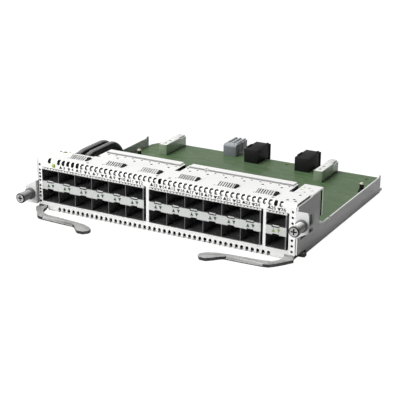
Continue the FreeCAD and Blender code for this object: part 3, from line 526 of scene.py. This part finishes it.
@dataclass(frozen=True)
class BoardFinish(Finish):
    """Green solder mask over copper tracks and plated holes, with a bare edge."""

    track: Colour = (0.20, 0.29, 0.15)
    track_share: float = 0.32
    tracks: tuple[Point, ...] = ((1.1, 0.0, 0.4), (1.3, 90.0, 0.35), (1.2, 45.0, 0.35))
    pad: Colour = (0.52, 0.50, 0.36)
    pad_scale: float = 330.0
    pad_scatter: float = 0.75
    pad_share: float = 0.11
    region_scale: float = 38.0
    region_limit: float = 0.54
    run_scale: Point = (60.0, 340.0, 0.0)
    run_limit: float = 0.56
    edge: Colour = (0.30, 0.30, 0.17)

    def lines(self, graph: Graph, pitch: float, turn: float, width: float) -> Socket:
        """Broken straight tracks in one direction.

        Args:
            graph: The material's graph.
            pitch: Distance between tracks in millimetres.
            turn: Direction of the tracks in degrees.
            width: Track width as a share of the pitch.

        Returns:
            One on a track, zero beside it.
        """
        place = graph.split(graph.stretched((1 / MM, 1 / MM, 0.0), turn))[Axis.Y.value]
        line = graph.below(graph.math("FRACT", graph.math("DIVIDE", place, pitch)), width)
        runs = graph.noise(1.0, 0.0, graph.stretched(self.run_scale, turn))
        return graph.all_of(line, graph.above(runs, self.run_limit))

    def tone(self, graph: Graph, value: Socket) -> Socket:
        """Mask colour with tracks, plated holes and the bare edge."""
        tracks = graph.any_of(*(self.lines(graph, *track) for track in self.tracks))
        tone = graph.blend(graph.math("MULTIPLY", tracks, self.track_share), super().tone(graph, value),
                           self.track)
        spots = graph.cells(self.pad_scatter, graph.stretched((self.pad_scale, self.pad_scale, 0.0)))
        region = graph.above(graph.noise(self.region_scale, 1.0), self.region_limit)
        tone = graph.blend(graph.all_of(graph.below(spots, self.pad_share), region), tone, self.pad)
        side = graph.below(graph.math("ABSOLUTE", graph.facing(Axis.Z)), TOWARDS)
        return graph.blend(side, tone, self.edge)


@dataclass(frozen=True)
class TurnedFinish(SidedFinish):
    """Turned metal with fine rings around the screw axes and a ring of painted shade near the rim."""

    ring: Range = (2.95, 3.6)
    # colour of the ring of painted shade near the head's rim
    ring_tone: Colour = (0.02, 0.02, 0.02)
    ring_scale: float = 3200.0

    def away(self, graph: Graph) -> Socket:
        """Distance from the nearer screw axis."""
        x = graph.along(Axis.X)
        across = graph.math("SUBTRACT", graph.math("ABSOLUTE", x), SCREW_X * MM)
        middle = graph.remap(x, -0.01, 0.01, SCREW_Z["left"] * MM, SCREW_Z["right"] * MM)
        up = graph.math("SUBTRACT", graph.along(Axis.Z), middle)
        return graph.math("SQRT", graph.math("ADD", graph.math("MULTIPLY", across, across),
                                             graph.math("MULTIPLY", up, up)))

    def tone(self, graph: Graph, value: Socket) -> Socket:
        """Colour by side with painted light and shade, and the ring of painted shade on the front."""
        ring = graph.all_of(graph.below(graph.facing(Axis.Y), -TOWARDS),
                            graph.between(self.away(graph), self.ring))
        return graph.blend(ring, super().tone(graph, value), self.ring_tone)

    def dress(self, graph: Graph) -> None:
        """Add rings that follow the distance from the screw axis."""
        place = graph.tree.nodes.new("ShaderNodeCombineXYZ")
        graph.link(self.away(graph), place.inputs[0])
        graph.link(graph.along(Axis.Y), place.inputs[1])
        graph.bump(graph.noise(self.ring_scale, 1.0, place.outputs[0]), 0.35, 0.00002)


@dataclass(frozen=True)
class JacketFinish(Finish):
    """Soft black cable jacket with a painted highlight along its top, and a faint weave."""

    # colour of the painted highlight along the top of each cable
    worn: Colour = (0.21, 0.21, 0.212)
    worn_turn: Range = (0.66, 0.80)
    weave_scale: float = 420.0

    def tone(self, graph: Graph, value: Socket) -> Socket:
        """Black with a painted highlight band along the side that faces up."""
        band = graph.remap(graph.facing(Axis.Z), *self.worn_turn)
        return graph.blend(band, super().tone(graph, value), self.worn)

    def dress(self, graph: Graph) -> None:
        """Add fine crossed ribs."""
        ribs = graph.tree.nodes.new("ShaderNodeTexWave")
        ribs.wave_type = "BANDS"
        ribs.bands_direction = "DIAGONAL"
        ribs.inputs["Scale"].default_value = self.weave_scale
        graph.link(graph.coords, ribs.inputs["Vector"])
        graph.bump(ribs.outputs["Fac"], 0.25, 0.00004)


@dataclass(frozen=True)
class RodFinish(Finish):
    """Clear coated rod with a weak painted green glow."""

    coat: float = 0.5
    # painted glow: emission on a rod that is no lamp
    glow: Colour = (0.05, 0.11, 0.05)
    glow_strength: float = 0.25

    def dress(self, graph: Graph) -> None:
        """Add a weak painted glow as emission."""
        graph.shader.inputs["Emission Color"].default_value = (*self.glow, 1.0)
        graph.shader.inputs["Emission Strength"].default_value = self.glow_strength


def even(scale: float) -> Point:
    """The same scale along every axis."""
    return (scale, scale, scale)


def grey(level: float) -> Colour:
    """A neutral colour."""
    return (level, level, level)


PAINTED = {"roughness": 0.42, "metallic": 0.1, "grain": even(700.0), "swing": 0.02, "blotch": 25.0,
           "relief": 0.00001, "gloss_swing": 0.06}
TURNED = {"roughness": 0.35, "metallic": 0.2, "grain": even(2000.0), "swing": 0.05, "blotch": 200.0}
MOULDED = {"grain": even(2500.0), "swing": 0.2, "blotch": 80.0, "relief": 0.00003}
CLEAR = {"roughness": 0.2, "grain": even(600.0), "swing": 0.15, "blotch": 90.0}
PRINTED = {"roughness": 0.7, "grain": even(3000.0), "blotch": 300.0}

FACE = FaceFinish("face_sheet", (0.93, 0.93, 0.92), **PAINTED)
HOOD = replace(FACE, name="hood_sheet", front_y=6.0)
STRIP = StripFinish("strip_sheet", (0.94, 0.94, 0.93), **PAINTED)
END_PANEL = EndPanelFinish("end_sheet", (0.93, 0.93, 0.92), **PAINTED)
# tray: painted shade on its front, right side and underside, painted light near the side's foot
TRAY_SHEET = TrayFinish("tray_sheet", grey(0.90), 0.42, 0.15, (90.0, 2200.0, 900.0), 0.03, 25.0, 0.00001,
                        0.06, front=grey(0.76), side=grey(0.33), under=grey(0.5))
CAGE = CageFinish("cage_sheet", (0.60, 0.615, 0.60), 0.38, 0.25, (1200.0, 300.0, 1200.0), 0.05)
SPRING = CombFinish("spring_sheet", (0.66, 0.66, 0.655), 0.35, 0.3, (2600.0, 120.0, 900.0), 0.12, 90.0)
FINGER = Finish("finger_sheet", (0.80, 0.80, 0.79), 0.4, 0.15, (2600.0, 120.0, 900.0), 0.12, 90.0)
# lever: painted shade on its front, right side and underside
LEVER = SidedFinish("brushed_lever", (0.50, 0.50, 0.49), 0.36, 0.45, (150.0, 3000.0, 3000.0), 0.10, 40.0,
                    front=grey(0.035), side=grey(0.05), under=grey(0.01))
# lit and shaded copies of one steel, for the right and left sleeves, each with painted shade by facing
BRIGHT = SidedFinish("turned_steel", (0.80, 0.80, 0.795), **TURNED,
                     front=grey(0.46), side=grey(0.30), under=grey(0.07))
SHADED = SidedFinish("shaded_steel", (0.40, 0.40, 0.395), **TURNED,
                     front=grey(0.30), side=grey(0.20), under=grey(0.05))
# screw heads: painted shade on the front, right side and underside
SCREW = TurnedFinish("screw_head", (0.50, 0.50, 0.495), 0.32, 0.3, even(2000.0), 0.08, 200.0,
                     front=grey(0.46), side=grey(0.20), under=grey(0.05))
PLATED = Finish("plated_steel", (0.70, 0.70, 0.69), 0.3, 0.8, even(1500.0), 0.06, 200.0)
DULL = Finish("dull_bush", grey(0.14), 0.4, 0.3, even(1500.0), 0.1, 150.0)
# painted shade for the screws' recesses and necks and the hood springs' dark ends
RECESS_SHADE = Finish("recess_shade", (0.008, 0.008, 0.009), 0.6, 0.0, even(2500.0), 0.2, 150.0, specular=0.15)
BLACK = Finish("black_moulding", (0.007, 0.007, 0.0075), **MOULDED, specular=0.28)
SOCKET = Finish("socket_moulding", (0.16, 0.16, 0.163), **MOULDED)
# grey moulding: painted shade on the front, right side and underside
GREY = SidedFinish("grey_moulding", (0.40, 0.415, 0.43), **(MOULDED | {"swing": 0.08}),
                   front=(0.225, 0.245, 0.26), side=(0.36, 0.375, 0.39), under=grey(0.1))
BEIGE = Finish("beige_moulding", (0.62, 0.57, 0.48), 0.5, 0.0, even(2500.0), 0.1, 200.0)
WHITE = Finish("light_body", (0.75, 0.74, 0.66), 0.4, 0.0, even(2500.0), 0.06, 200.0)
# rods and the lens carry a painted glow, stronger on the lit end rods and the lens
ROD = RodFinish("clear_rod", (0.025, 0.055, 0.028), **CLEAR)
LIT_ROD = RodFinish("lit_rod", (0.22, 0.30, 0.06), **CLEAR, glow=(0.10, 0.14, 0.03))
LENS = RodFinish("lens_green", (0.36, 0.46, 0.10), 0.15, 0.0, even(900.0), 0.1, 300.0, glow=(0.2, 0.28, 0.05))
BOARD = BoardFinish("solder_mask", (0.078, 0.138, 0.060), 0.45, 0.0, even(1800.0), 0.08, 30.0, coat=0.2)
FOAM = Finish("foam_pad", grey(0.03), 0.9, 0.0, even(4000.0), 0.3, 200.0, 0.0001)
JACKET = JacketFinish("cable_jacket", (0.012, 0.012, 0.013), 0.4, 0.0, even(900.0), 0.2)
# milled block: painted light on the top, painted greenish shade on the front and right side
BLOCK = SidedFinish("milled_block", (0.93, 0.93, 0.915), 0.36, 0.1, (2500.0, 180.0, 2500.0), 0.05,
                    front=(0.275, 0.355, 0.24), side=(0.58, 0.66, 0.55), under=(0.05, 0.06, 0.05))
FINS = Finish("black_fins", (0.03, 0.03, 0.033), 0.4, 0.5, (2200.0, 120.0, 2200.0), 0.2)
CAN = Finish("drawn_can", grey(0.68), 0.25, 0.85, (2500.0, 2500.0, 200.0), 0.05, 200.0)
CONTACT = Finish("contact_gold", (0.72, 0.52, 0.20), 0.25, 0.9, even(2000.0), 0.06, 300.0)
CHIP = Finish("chip_epoxy", (0.028, 0.028, 0.030), 0.5, 0.0, even(3500.0), 0.25, 120.0)
FERRITE = Finish("ferrite_grey", (0.12, 0.12, 0.125), 0.6, 0.1, even(3000.0), 0.2, 200.0, 0.00004)
INK = Finish("print_ink", (0.008, 0.008, 0.009), **PRINTED, swing=0.25)
INK_GREY = Finish("print_ink_grey", (0.05, 0.05, 0.052), **PRINTED, swing=0.2)

FINISHED_NODES: tuple[tuple[Finish, str], ...] = (
    (FACE, "faceplate"),
    (TRAY_SHEET, "base_tray"),
    (HOOD, "hood_panel_left hood_panel_right"),
    (END_PANEL, "hood_panel_end"),
    (STRIP, "hood_stiffener_left hood_stiffener_right"),
    (SPRING, "hood_springs"),
    # painted shade on the hood springs' ends
    (RECESS_SHADE, "hood_spring_ends"),
    (CAGE, "port_cage_left port_cage_right port_cage_end"),
    (SOCKET, "port_sockets_left port_sockets_right port_sockets_end"),
    (FINGER, "spring_fingers_left spring_fingers_right spring_fingers_end"),
    (ROD, "light_pipes_left light_pipes_right"),
    (LIT_ROD, "light_pipes_end"),
    (LENS, "status_lens status_block"),
    (WHITE, "port_lights status_light"),
    (LEVER, "ejector_lever_left ejector_lever_right"),
    (DULL, "screw_ferrules hood_rivets"),
    (SHADED, "screw_sleeve_left"),
    (BRIGHT, "screw_sleeve_right"),
    (SCREW, "captive_screw_left captive_screw_right"),
    (BOARD, "circuit_board status_board"),
    (FOAM, "status_pad"),
    (JACKET, "status_cables"),
    (PLATED, "lever_pins board_standoffs board_screws guide_block_screws"),
    (BEIGE, "board_post_caps"),
    (BLOCK, "guide_block_left guide_block_right"),
    (BLACK, "cable_plug cable_socket board_posts backplane_connector_left backplane_connector_right"),
    (GREY, "power_connector"),
    (CONTACT, "backplane_pins power_blades"),
    (CHIP, "switch_chip retimer_chips memory_chips power_modules"),
    (FINS, "chip_heat_sink"),
    (FERRITE, "power_inductors"),
    (CAN, "board_capacitors"),
)


class Finishes:
    """Builds each finish once and hands it out."""

    def __init__(self) -> None:
        """Start with no finish built."""
        self.made: dict[str, bpy.types.Material] = {}

    def get(self, finish: Finish) -> bpy.types.Material:
        """The material of a finish.

        Args:
            finish: The finish wanted.

        Returns:
            Its material, built on the first call.
        """
        if finish.name not in self.made:
            self.made[finish.name] = finish.build()
        return self.made[finish.name]

    def dress(self, piece: bpy.types.Object, finish: Finish) -> None:
        """Give a piece one finish all over."""
        piece.data.materials.clear()
        piece.data.materials.append(self.get(finish))

    def dress_nodes(self) -> None:
        """Give every CAD node its finish."""
        chosen = {name: finish for finish, names in FINISHED_NODES for name in names.split()}
        for name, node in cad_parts.items():
            material = self.get(chosen[name])
            if not node.material_slots:
                node.data.materials.append(material)
            for slot in node.material_slots:
                slot.material = material
        LOG.info("dressed %d nodes", len(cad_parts))


class Bench:
    """Everyday modelling moves, in millimetres."""

    @staticmethod
    def clear() -> None:
        """Deselect everything."""
        bpy.ops.object.select_all(action="DESELECT")

    @staticmethod
    def hold(piece: bpy.types.Object) -> None:
        """Select one piece alone and make it active."""
        Bench.clear()
        piece.select_set(True)
        bpy.context.view_layer.objects.active = piece

    @staticmethod
    def settle(piece: bpy.types.Object) -> None:
        """Put a piece's place, turn and scale into its mesh."""
        Bench.hold(piece)
        bpy.ops.object.transform_apply(location=True, rotation=True, scale=True)

    @staticmethod
    def block(name: str, low: Point, high: Point) -> bpy.types.Object:
        """A box between two corners.

        Args:
            name: The piece's name.
            low: Lowest corner.
            high: Highest corner.

        Returns:
            The new piece.
        """
        Bench.clear()
        centre = [(a + b) / 2 * MM for a, b in zip(low, high)]
        size = [(b - a) * MM for a, b in zip(low, high)]
        bpy.ops.mesh.primitive_cube_add(size=1.0, location=centre, scale=size)
        piece = bpy.context.object
        piece.name = name
        Bench.settle(piece)
        return piece

    @staticmethod
    def sink(piece: bpy.types.Object, test: Callable[[bmesh.types.BMFace], bool], inset: float,
             depth: float) -> None:
        """Inset the faces that pass a test and push them in.

        Args:
            piece: The piece to edit.
            test: Says yes to a face.
            inset: Width of the rim that stays.
            depth: How far the faces go in.
        """
        Bench.hold(piece)
        bpy.ops.object.mode_set(mode="EDIT")
        bpy.ops.mesh.select_mode(type="FACE")
        bpy.ops.mesh.select_all(action="DESELECT")
        mesh = bmesh.from_edit_mesh(piece.data)
        for face in mesh.faces:
            if test(face):
                face.select_set(True)
        bmesh.update_edit_mesh(piece.data)
        bpy.ops.mesh.inset(thickness=inset * MM, depth=-depth * MM)
        bpy.ops.object.mode_set(mode="OBJECT")

    @staticmethod
    def bevel(piece: bpy.types.Object, width: float, segments: int = 2, angle: float = 30.0) -> None:
        """Round the sharp edges of a piece.

        Args:
            piece: The piece.
            width: Width of the rounding.
            segments: Number of steps.
            angle: Edges sharper than this are rounded, in degrees.
        """
        Bench.hold(piece)
        modifier = piece.modifiers.new("soft_edges", "BEVEL")
        modifier.width = width * MM
        modifier.segments = segments
        modifier.limit_method = "ANGLE"
        modifier.angle_limit = math.radians(angle)
        modifier.harden_normals = False
        bpy.ops.object.modifier_apply(modifier=modifier.name)
        bpy.ops.object.shade_smooth_by_angle(angle=SMOOTH_ANGLE)

    @staticmethod
    def join(pieces: Sequence[bpy.types.Object], name: str) -> bpy.types.Object:
        """Make one piece of several.

        Args:
            pieces: The pieces to join.
            name: The joined piece's name.

        Returns:
            The joined piece.
        """
        Bench.clear()
        for piece in pieces:
            piece.select_set(True)
        bpy.context.view_layer.objects.active = pieces[0]
        bpy.ops.object.join()
        joined = bpy.context.object
        joined.name = name
        return joined

    @staticmethod
    def softened(node: str, width: float) -> bpy.types.Object:
        """A copy of a CAD node with its faces merged and its edges rounded.

        Args:
            node: The CAD node's name.
            width: Width of the rounding.

        Returns:
            The new piece.
        """
        piece = bpy.data.objects.new(node + "_soft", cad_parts[node].data.copy())
        bpy.context.collection.objects.link(piece)
        Bench.hold(piece)
        bpy.ops.object.mode_set(mode="EDIT")
        bpy.ops.mesh.select_all(action="SELECT")
        bpy.ops.mesh.remove_doubles(threshold=0.000002)
        bpy.ops.mesh.dissolve_limited(angle_limit=math.radians(1.0))
        bpy.ops.object.mode_set(mode="OBJECT")
        Bench.bevel(piece, width)
        return piece


@dataclass
class Assembly:
    """What every sub-assembly needs: the finishes and a way to hand in pieces."""

    finishes: Finishes

    def build(self) -> None:
        """Model the sub-assembly and hand in its pieces."""
        raise NotImplementedError

    def hand_in(self, piece: bpy.types.Object, finish: Finish, slot: Slot, body: str = CARD,
                replaces: Sequence[str] = ()) -> bpy.types.Object:
        """Dress a piece, tie it to its body and report it.

        Args:
            piece: The finished piece.
            finish: Its finish.
            slot: The record's material slot; not used.
            body: The body it rides on.
            replaces: CAD nodes that it stands for.

        Returns:
            The same piece.
        """
        self.finishes.dress(piece, finish)
        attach(piece, body)
        if replaces:
            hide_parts(*replaces)
        LOG.info("piece %s: %d faces", piece.name, len(piece.data.polygons))
        return piece


@dataclass
class PortMarks(Assembly):
    """Printed triangles and plain port numbers over every column but the first.

    The offsets are from a column's left edge to the middle of each mark.
    """

    lift: float = 0.02
    level: float = 35.0
    triangle_radius: float = 1.6
    text_size: float = 3.0375
    text_stretch: float = 1.2
    stroke: float = 0.10
    triangle_offsets: Range = (1.6, 8.7)
    number_offsets: Range = (4.6, 11.8)

    def stand(self, mark: bpy.types.Object, x: float, turn: Matrix) -> None:
        """Stand a flat mark on the front panel.

        Args:
            mark: The mark, flat about the origin.
            x: Its middle across the card.
            turn: Its turn or stretch in its own plane.
        """
        mark.matrix_world = (Matrix.Translation(Vector((x, -self.lift, self.level)) * MM)
                             @ Matrix.Rotation(math.pi / 2, 4, "X") @ turn)
        Bench.settle(mark)

    def triangle(self, x: float, spin: float) -> bpy.types.Object:
        """One printed triangle.

        Args:
            x: Its middle across the card.
            spin: Its turn, with zero to point up.

        Returns:
            The triangle.
        """
        Bench.clear()
        bpy.ops.mesh.primitive_circle_add(vertices=3, radius=self.triangle_radius * MM, fill_type="NGON",
                                          location=(0.0, 0.0, 0.0))
        mark = bpy.context.object
        self.stand(mark, x, Matrix.Rotation(spin, 4, "Z"))
        return mark

    def number(self, value: int, x: float) -> bpy.types.Object:
        """One printed number, as a flat mesh.

        Args:
            value: The number.
            x: Its middle across the card.

        Returns:
            The number.
        """
        Bench.clear()
        bpy.ops.object.text_add(location=(0.0, 0.0, 0.0))
        mark = bpy.context.object
        mark.data.body = str(value)
        mark.data.size = self.text_size * MM
        mark.data.align_x = "CENTER"
        mark.data.align_y = "CENTER"
        mark.data.resolution_u = 3
        mark.data.offset = self.stroke * MM
        bpy.ops.object.convert(target="MESH")
        mark = bpy.context.object
        self.stand(mark, x, Matrix.Diagonal((self.text_stretch, 1.0, 1.0, 1.0)))
        return mark

    def build(self) -> None:
        """Print the whole row."""
        edges = [left + k * PORT_PITCH for left, columns in PORT_GROUPS for k in range(columns)]
        triangles = []
        numbers = []
        for column, edge in enumerate(edges[1:], start=1):
            for row, (triangle_x, number_x) in enumerate(zip(self.triangle_offsets, self.number_offsets)):
                triangles.append(self.triangle(edge + triangle_x, row * math.pi))
                numbers.append(self.number(2 * column + 1 + row, edge + number_x))
        self.hand_in(Bench.join(triangles, "port_triangles"), INK, Slot.BLACK)
        self.hand_in(Bench.join(numbers, "port_numbers"), INK_GREY, Slot.BLACK)


@dataclass
class Levers(Assembly):
    """The two ejector levers with softened edges."""

    edge: float = 0.22

    def build(self) -> None:
        """Make both levers."""
        for side in ("left", "right"):
            node = f"ejector_lever_{side}"
            self.hand_in(Bench.softened(node, self.edge), LEVER, Slot.LEVER, f"lever_{side}", (node,))


@dataclass
class CornerScrews(Assembly):
    """Captive screws, their sleeves and the bushes in the ears.

    Depths are from the front of a screw's head, and radii from its axis.
    """

    edge: float = 0.18
    recess_radius: float = 2.4
    recess_depths: Range = (0.15, 2.3)
    neck_depths: Range = (3.05, 3.9)
    rim_radius: float = 3.4
    rim_depths: Range = (0.05, 0.45)

    def build(self) -> None:
        """Make the screws, sleeves and bushes of both corners."""
        # the left sleeve takes the steel in painted shade, the right one the lit steel
        for side, tube in (("left", SHADED), ("right", BRIGHT)):
            node = f"captive_screw_{side}"
            screw = Bench.softened(node, self.edge)
            self.hand_in(screw, SCREW, Slot.BRIGHT, f"screw_{side}", (node,))
            self.darken_hollows(screw, side)
            node = f"screw_sleeve_{side}"
            self.hand_in(Bench.softened(node, self.edge), tube, Slot.BRIGHT, f"sleeve_{side}", (node,))
        node = "screw_ferrules"
        self.hand_in(Bench.softened(node, self.edge), DULL, Slot.CAGE, CARD, (node,))

    def darken_hollows(self, screw: bpy.types.Object, side: str) -> None:
        """Give the cross recess, the neck and the rim's chamfer painted shade.

        Args:
            screw: The screw.
            side: Its side of the card, left or right.
        """
        screw.data.materials.append(self.finishes.get(RECESS_SHADE))
        front = min(vertex.co.y for vertex in screw.data.vertices)
        axis_x = (-SCREW_X if side == "left" else SCREW_X) * MM
        axis_z = SCREW_Z[side] * MM
        for polygon in screw.data.polygons:
            away = math.hypot(polygon.center.x - axis_x, polygon.center.z - axis_z) / MM
            depth = (polygon.center.y - front) / MM
            recess = away < self.recess_radius and self.recess_depths[0] < depth < self.recess_depths[1]
            neck = self.neck_depths[0] < depth < self.neck_depths[1]
            rim = away > self.rim_radius and self.rim_depths[0] < depth < self.rim_depths[1]
            if recess or neck or rim:
                polygon.material_index = 1


@dataclass
class PostClips(Assembly):
    """Small black clips on the board beside the two posts."""

    length: float = 3.6
    width: float = 1.3
    height: float = 1.5
    gap: float = 2.6
    edge: float = 0.2
    rim: float = 0.3
    hollow: float = 0.35

    def build(self) -> None:
        """Make one clip in front of each post."""
        clips = []
        for x, y in POSTS:
            clip = Bench.block("post_clip", (x - self.width / 2, y - self.gap - self.length, BOARD_TOP),
                               (x + self.width / 2, y - self.gap, BOARD_TOP + self.height))
            Bench.sink(clip, lambda face: face.normal.z > 0.9, self.rim, self.hollow)
            Bench.bevel(clip, self.edge)
            clips.append(clip)
        self.hand_in(Bench.join(clips, "post_clips"), BLACK, Slot.BLACK)


@dataclass
class RearBlocks(Assembly):
    """Guide blocks and connectors on the rear edge of the board."""

    edge: float = 0.25

    def build(self) -> None:
        """Soften the edges of every rear block."""
        for node, finish, slot in (("guide_block_left", BLOCK, Slot.BLOCK),
                                   ("guide_block_right", BLOCK, Slot.BLOCK),
                                   ("backplane_connector_left", BLACK, Slot.BLACK),
                                   ("backplane_connector_right", BLACK, Slot.BLACK),
                                   ("power_connector", GREY, Slot.GREY)):
            self.hand_in(Bench.softened(node, self.edge), finish, slot, CARD, (node,))


@dataclass(frozen=True)
class Lamp:
    """A square soft lamp, with its places and size in metres and its power in watts."""

    name: str
    at: Point
    target: Point
    size: float
    power: float

    def build(self) -> None:
        """Hang the lamp."""
        data = bpy.data.lights.new(self.name, "AREA")
        data.shape = "SQUARE"
        data.size = self.size
        data.energy = self.power
        lamp = bpy.data.objects.new(self.name, data)
        bpy.context.collection.objects.link(lamp)
        at = Vector(self.at)
        turn = (Vector(self.target) - at).to_track_quat("-Z", "Y").to_matrix().to_4x4()
        lamp.matrix_world = Matrix.Translation(at) @ turn


@dataclass
class Studio:
    """Floor, lamps, background and the camera that matches the photograph.

    The camera's place is in millimetres, its angles in degrees. The world's light weakens from its first
    strength to its second over a range of directions across.
    """

    camera_at: Point = (386.89, -663.86, 300.73)
    azimuth: float = 28.17
    elevation: float = 19.72
    roll: float = 0.61
    lens: float = 106.035
    floor_half: float = 6.0
    floor_z: float = -0.0002
    floor_tone: float = 0.7
    floor_glow: float = 1.12
    glow_share: float = 0.88
    world_strengths: Range = (0.55, 0.03)
    world_span: Range = (-0.4, 0.45)
    lamps: tuple[Lamp, ...] = (
        Lamp("top_lamp", (-0.45, -0.05, 1.25), (0.0, 0.02, 0.03), 1.0, 16.0),
        Lamp("front_lamp", (-0.65, -1.35, 0.50), (0.0, 0.0, 0.02), 0.9, 15.0),
    )

    def build_camera(self) -> None:
        """Place the camera at the photograph's viewing point."""
        az, el, roll = (math.radians(a) for a in (self.azimuth, self.elevation, self.roll))
        forward = Vector((-math.sin(az) * math.cos(el), math.cos(az) * math.cos(el), -math.sin(el)))
        level = Vector((math.cos(az), math.sin(az), 0.0))
        above = level.cross(forward)
        right = level * math.cos(roll) + above * math.sin(roll)
        up = above * math.cos(roll) - level * math.sin(roll)
        data = bpy.data.cameras.new("photo_camera")
        data.lens = self.lens
        data.sensor_width = 36.0
        data.sensor_fit = "HORIZONTAL"
        data.clip_start = 0.02
        data.clip_end = 60.0
        camera = bpy.data.objects.new("photo_camera", data)
        bpy.context.collection.objects.link(camera)
        turn = Matrix((right, up, -forward)).transposed().to_4x4()
        camera.matrix_world = Matrix.Translation(Vector(self.camera_at) * MM) @ turn
        bpy.context.scene.camera = camera

    def build_floor(self) -> None:
        """A wide pale floor that keeps a soft shadow and reads as white."""
        Bench.clear()
        bpy.ops.mesh.primitive_plane_add(size=2 * self.floor_half, location=(0.0, 0.0, self.floor_z))
        floor = bpy.context.object
        floor.name = "studio_floor"
        graph = Graph("studio_floor")
        graph.shader.inputs["Base Color"].default_value = (*grey(self.floor_tone), 1.0)
        graph.shader.inputs["Roughness"].default_value = 0.9
        graph.shader.inputs["Specular IOR Level"].default_value = 0.0
        glow = graph.tree.nodes.new("ShaderNodeEmission")
        glow.inputs["Color"].default_value = (*grey(1.0), 1.0)
        glow.inputs["Strength"].default_value = self.floor_glow
        path = graph.tree.nodes.new("ShaderNodeLightPath")
        share = graph.math("MULTIPLY", path.outputs["Is Camera Ray"], self.glow_share)
        mix = graph.tree.nodes.new("ShaderNodeMixShader")
        graph.link(share, mix.inputs[0])
        graph.link(graph.shader.outputs[0], mix.inputs[1])
        graph.link(glow.outputs[0], mix.inputs[2])
        graph.link(mix.outputs[0], graph.tree.nodes["Material Output"].inputs["Surface"])
        floor.data.materials.append(graph.material)

    def build_world(self) -> None:
        """White to the camera, soft grey light on the object."""
        world = bpy.data.worlds.new("studio")
        bpy.context.scene.world = world
        world.use_nodes = True
        tree = world.node_tree
        backdrop = tree.nodes["Background"]
        backdrop.inputs["Color"].default_value = (*grey(1.0), 1.0)
        backdrop.inputs["Strength"].default_value = 1.0
        soft = tree.nodes.new("ShaderNodeBackground")
        coords = tree.nodes.new("ShaderNodeTexCoord")
        split = tree.nodes.new("ShaderNodeSeparateXYZ")
        tree.links.new(coords.outputs["Generated"], split.inputs[0])
        side = tree.nodes.new("ShaderNodeMapRange")
        side.inputs["From Min"].default_value, side.inputs["From Max"].default_value = self.world_span
        side.inputs["To Min"].default_value, side.inputs["To Max"].default_value = self.world_strengths
        tree.links.new(split.outputs[0], side.inputs["Value"])
        tree.links.new(side.outputs["Result"], soft.inputs["Strength"])
        path = tree.nodes.new("ShaderNodeLightPath")
        seen = tree.nodes.new("ShaderNodeMath")
        seen.operation = "MAXIMUM"
        tree.links.new(path.outputs["Is Camera Ray"], seen.inputs[0])
        tree.links.new(path.outputs["Is Transmission Ray"], seen.inputs[1])
        mix = tree.nodes.new("ShaderNodeMixShader")
        tree.links.new(seen.outputs[0], mix.inputs[0])
        tree.links.new(soft.outputs[0], mix.inputs[1])
        tree.links.new(backdrop.outputs[0], mix.inputs[2])
        tree.links.new(mix.outputs[0], tree.nodes["World Output"].inputs["Surface"])

    def build(self) -> None:
        """Make the whole studio."""
        bpy.context.scene.view_settings.view_transform = "Standard"
        self.build_camera()
        self.build_floor()
        self.build_world()
        for lamp in self.lamps:
            lamp.build()


def main() -> None:
    """Build every sub-assembly in order."""
    logging.basicConfig(level=logging.INFO, format="%(name)s: %(message)s")
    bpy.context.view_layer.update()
    finishes = Finishes()
    finishes.dress_nodes()
    Studio().build()
    for assembly in (PortMarks(finishes), Levers(finishes), CornerScrews(finishes), PostClips(finishes),
                     RearBlocks(finishes)):
        assembly.build()
        LOG.info("built %s", type(assembly).__name__)


if __name__ == "__main__":
    main()
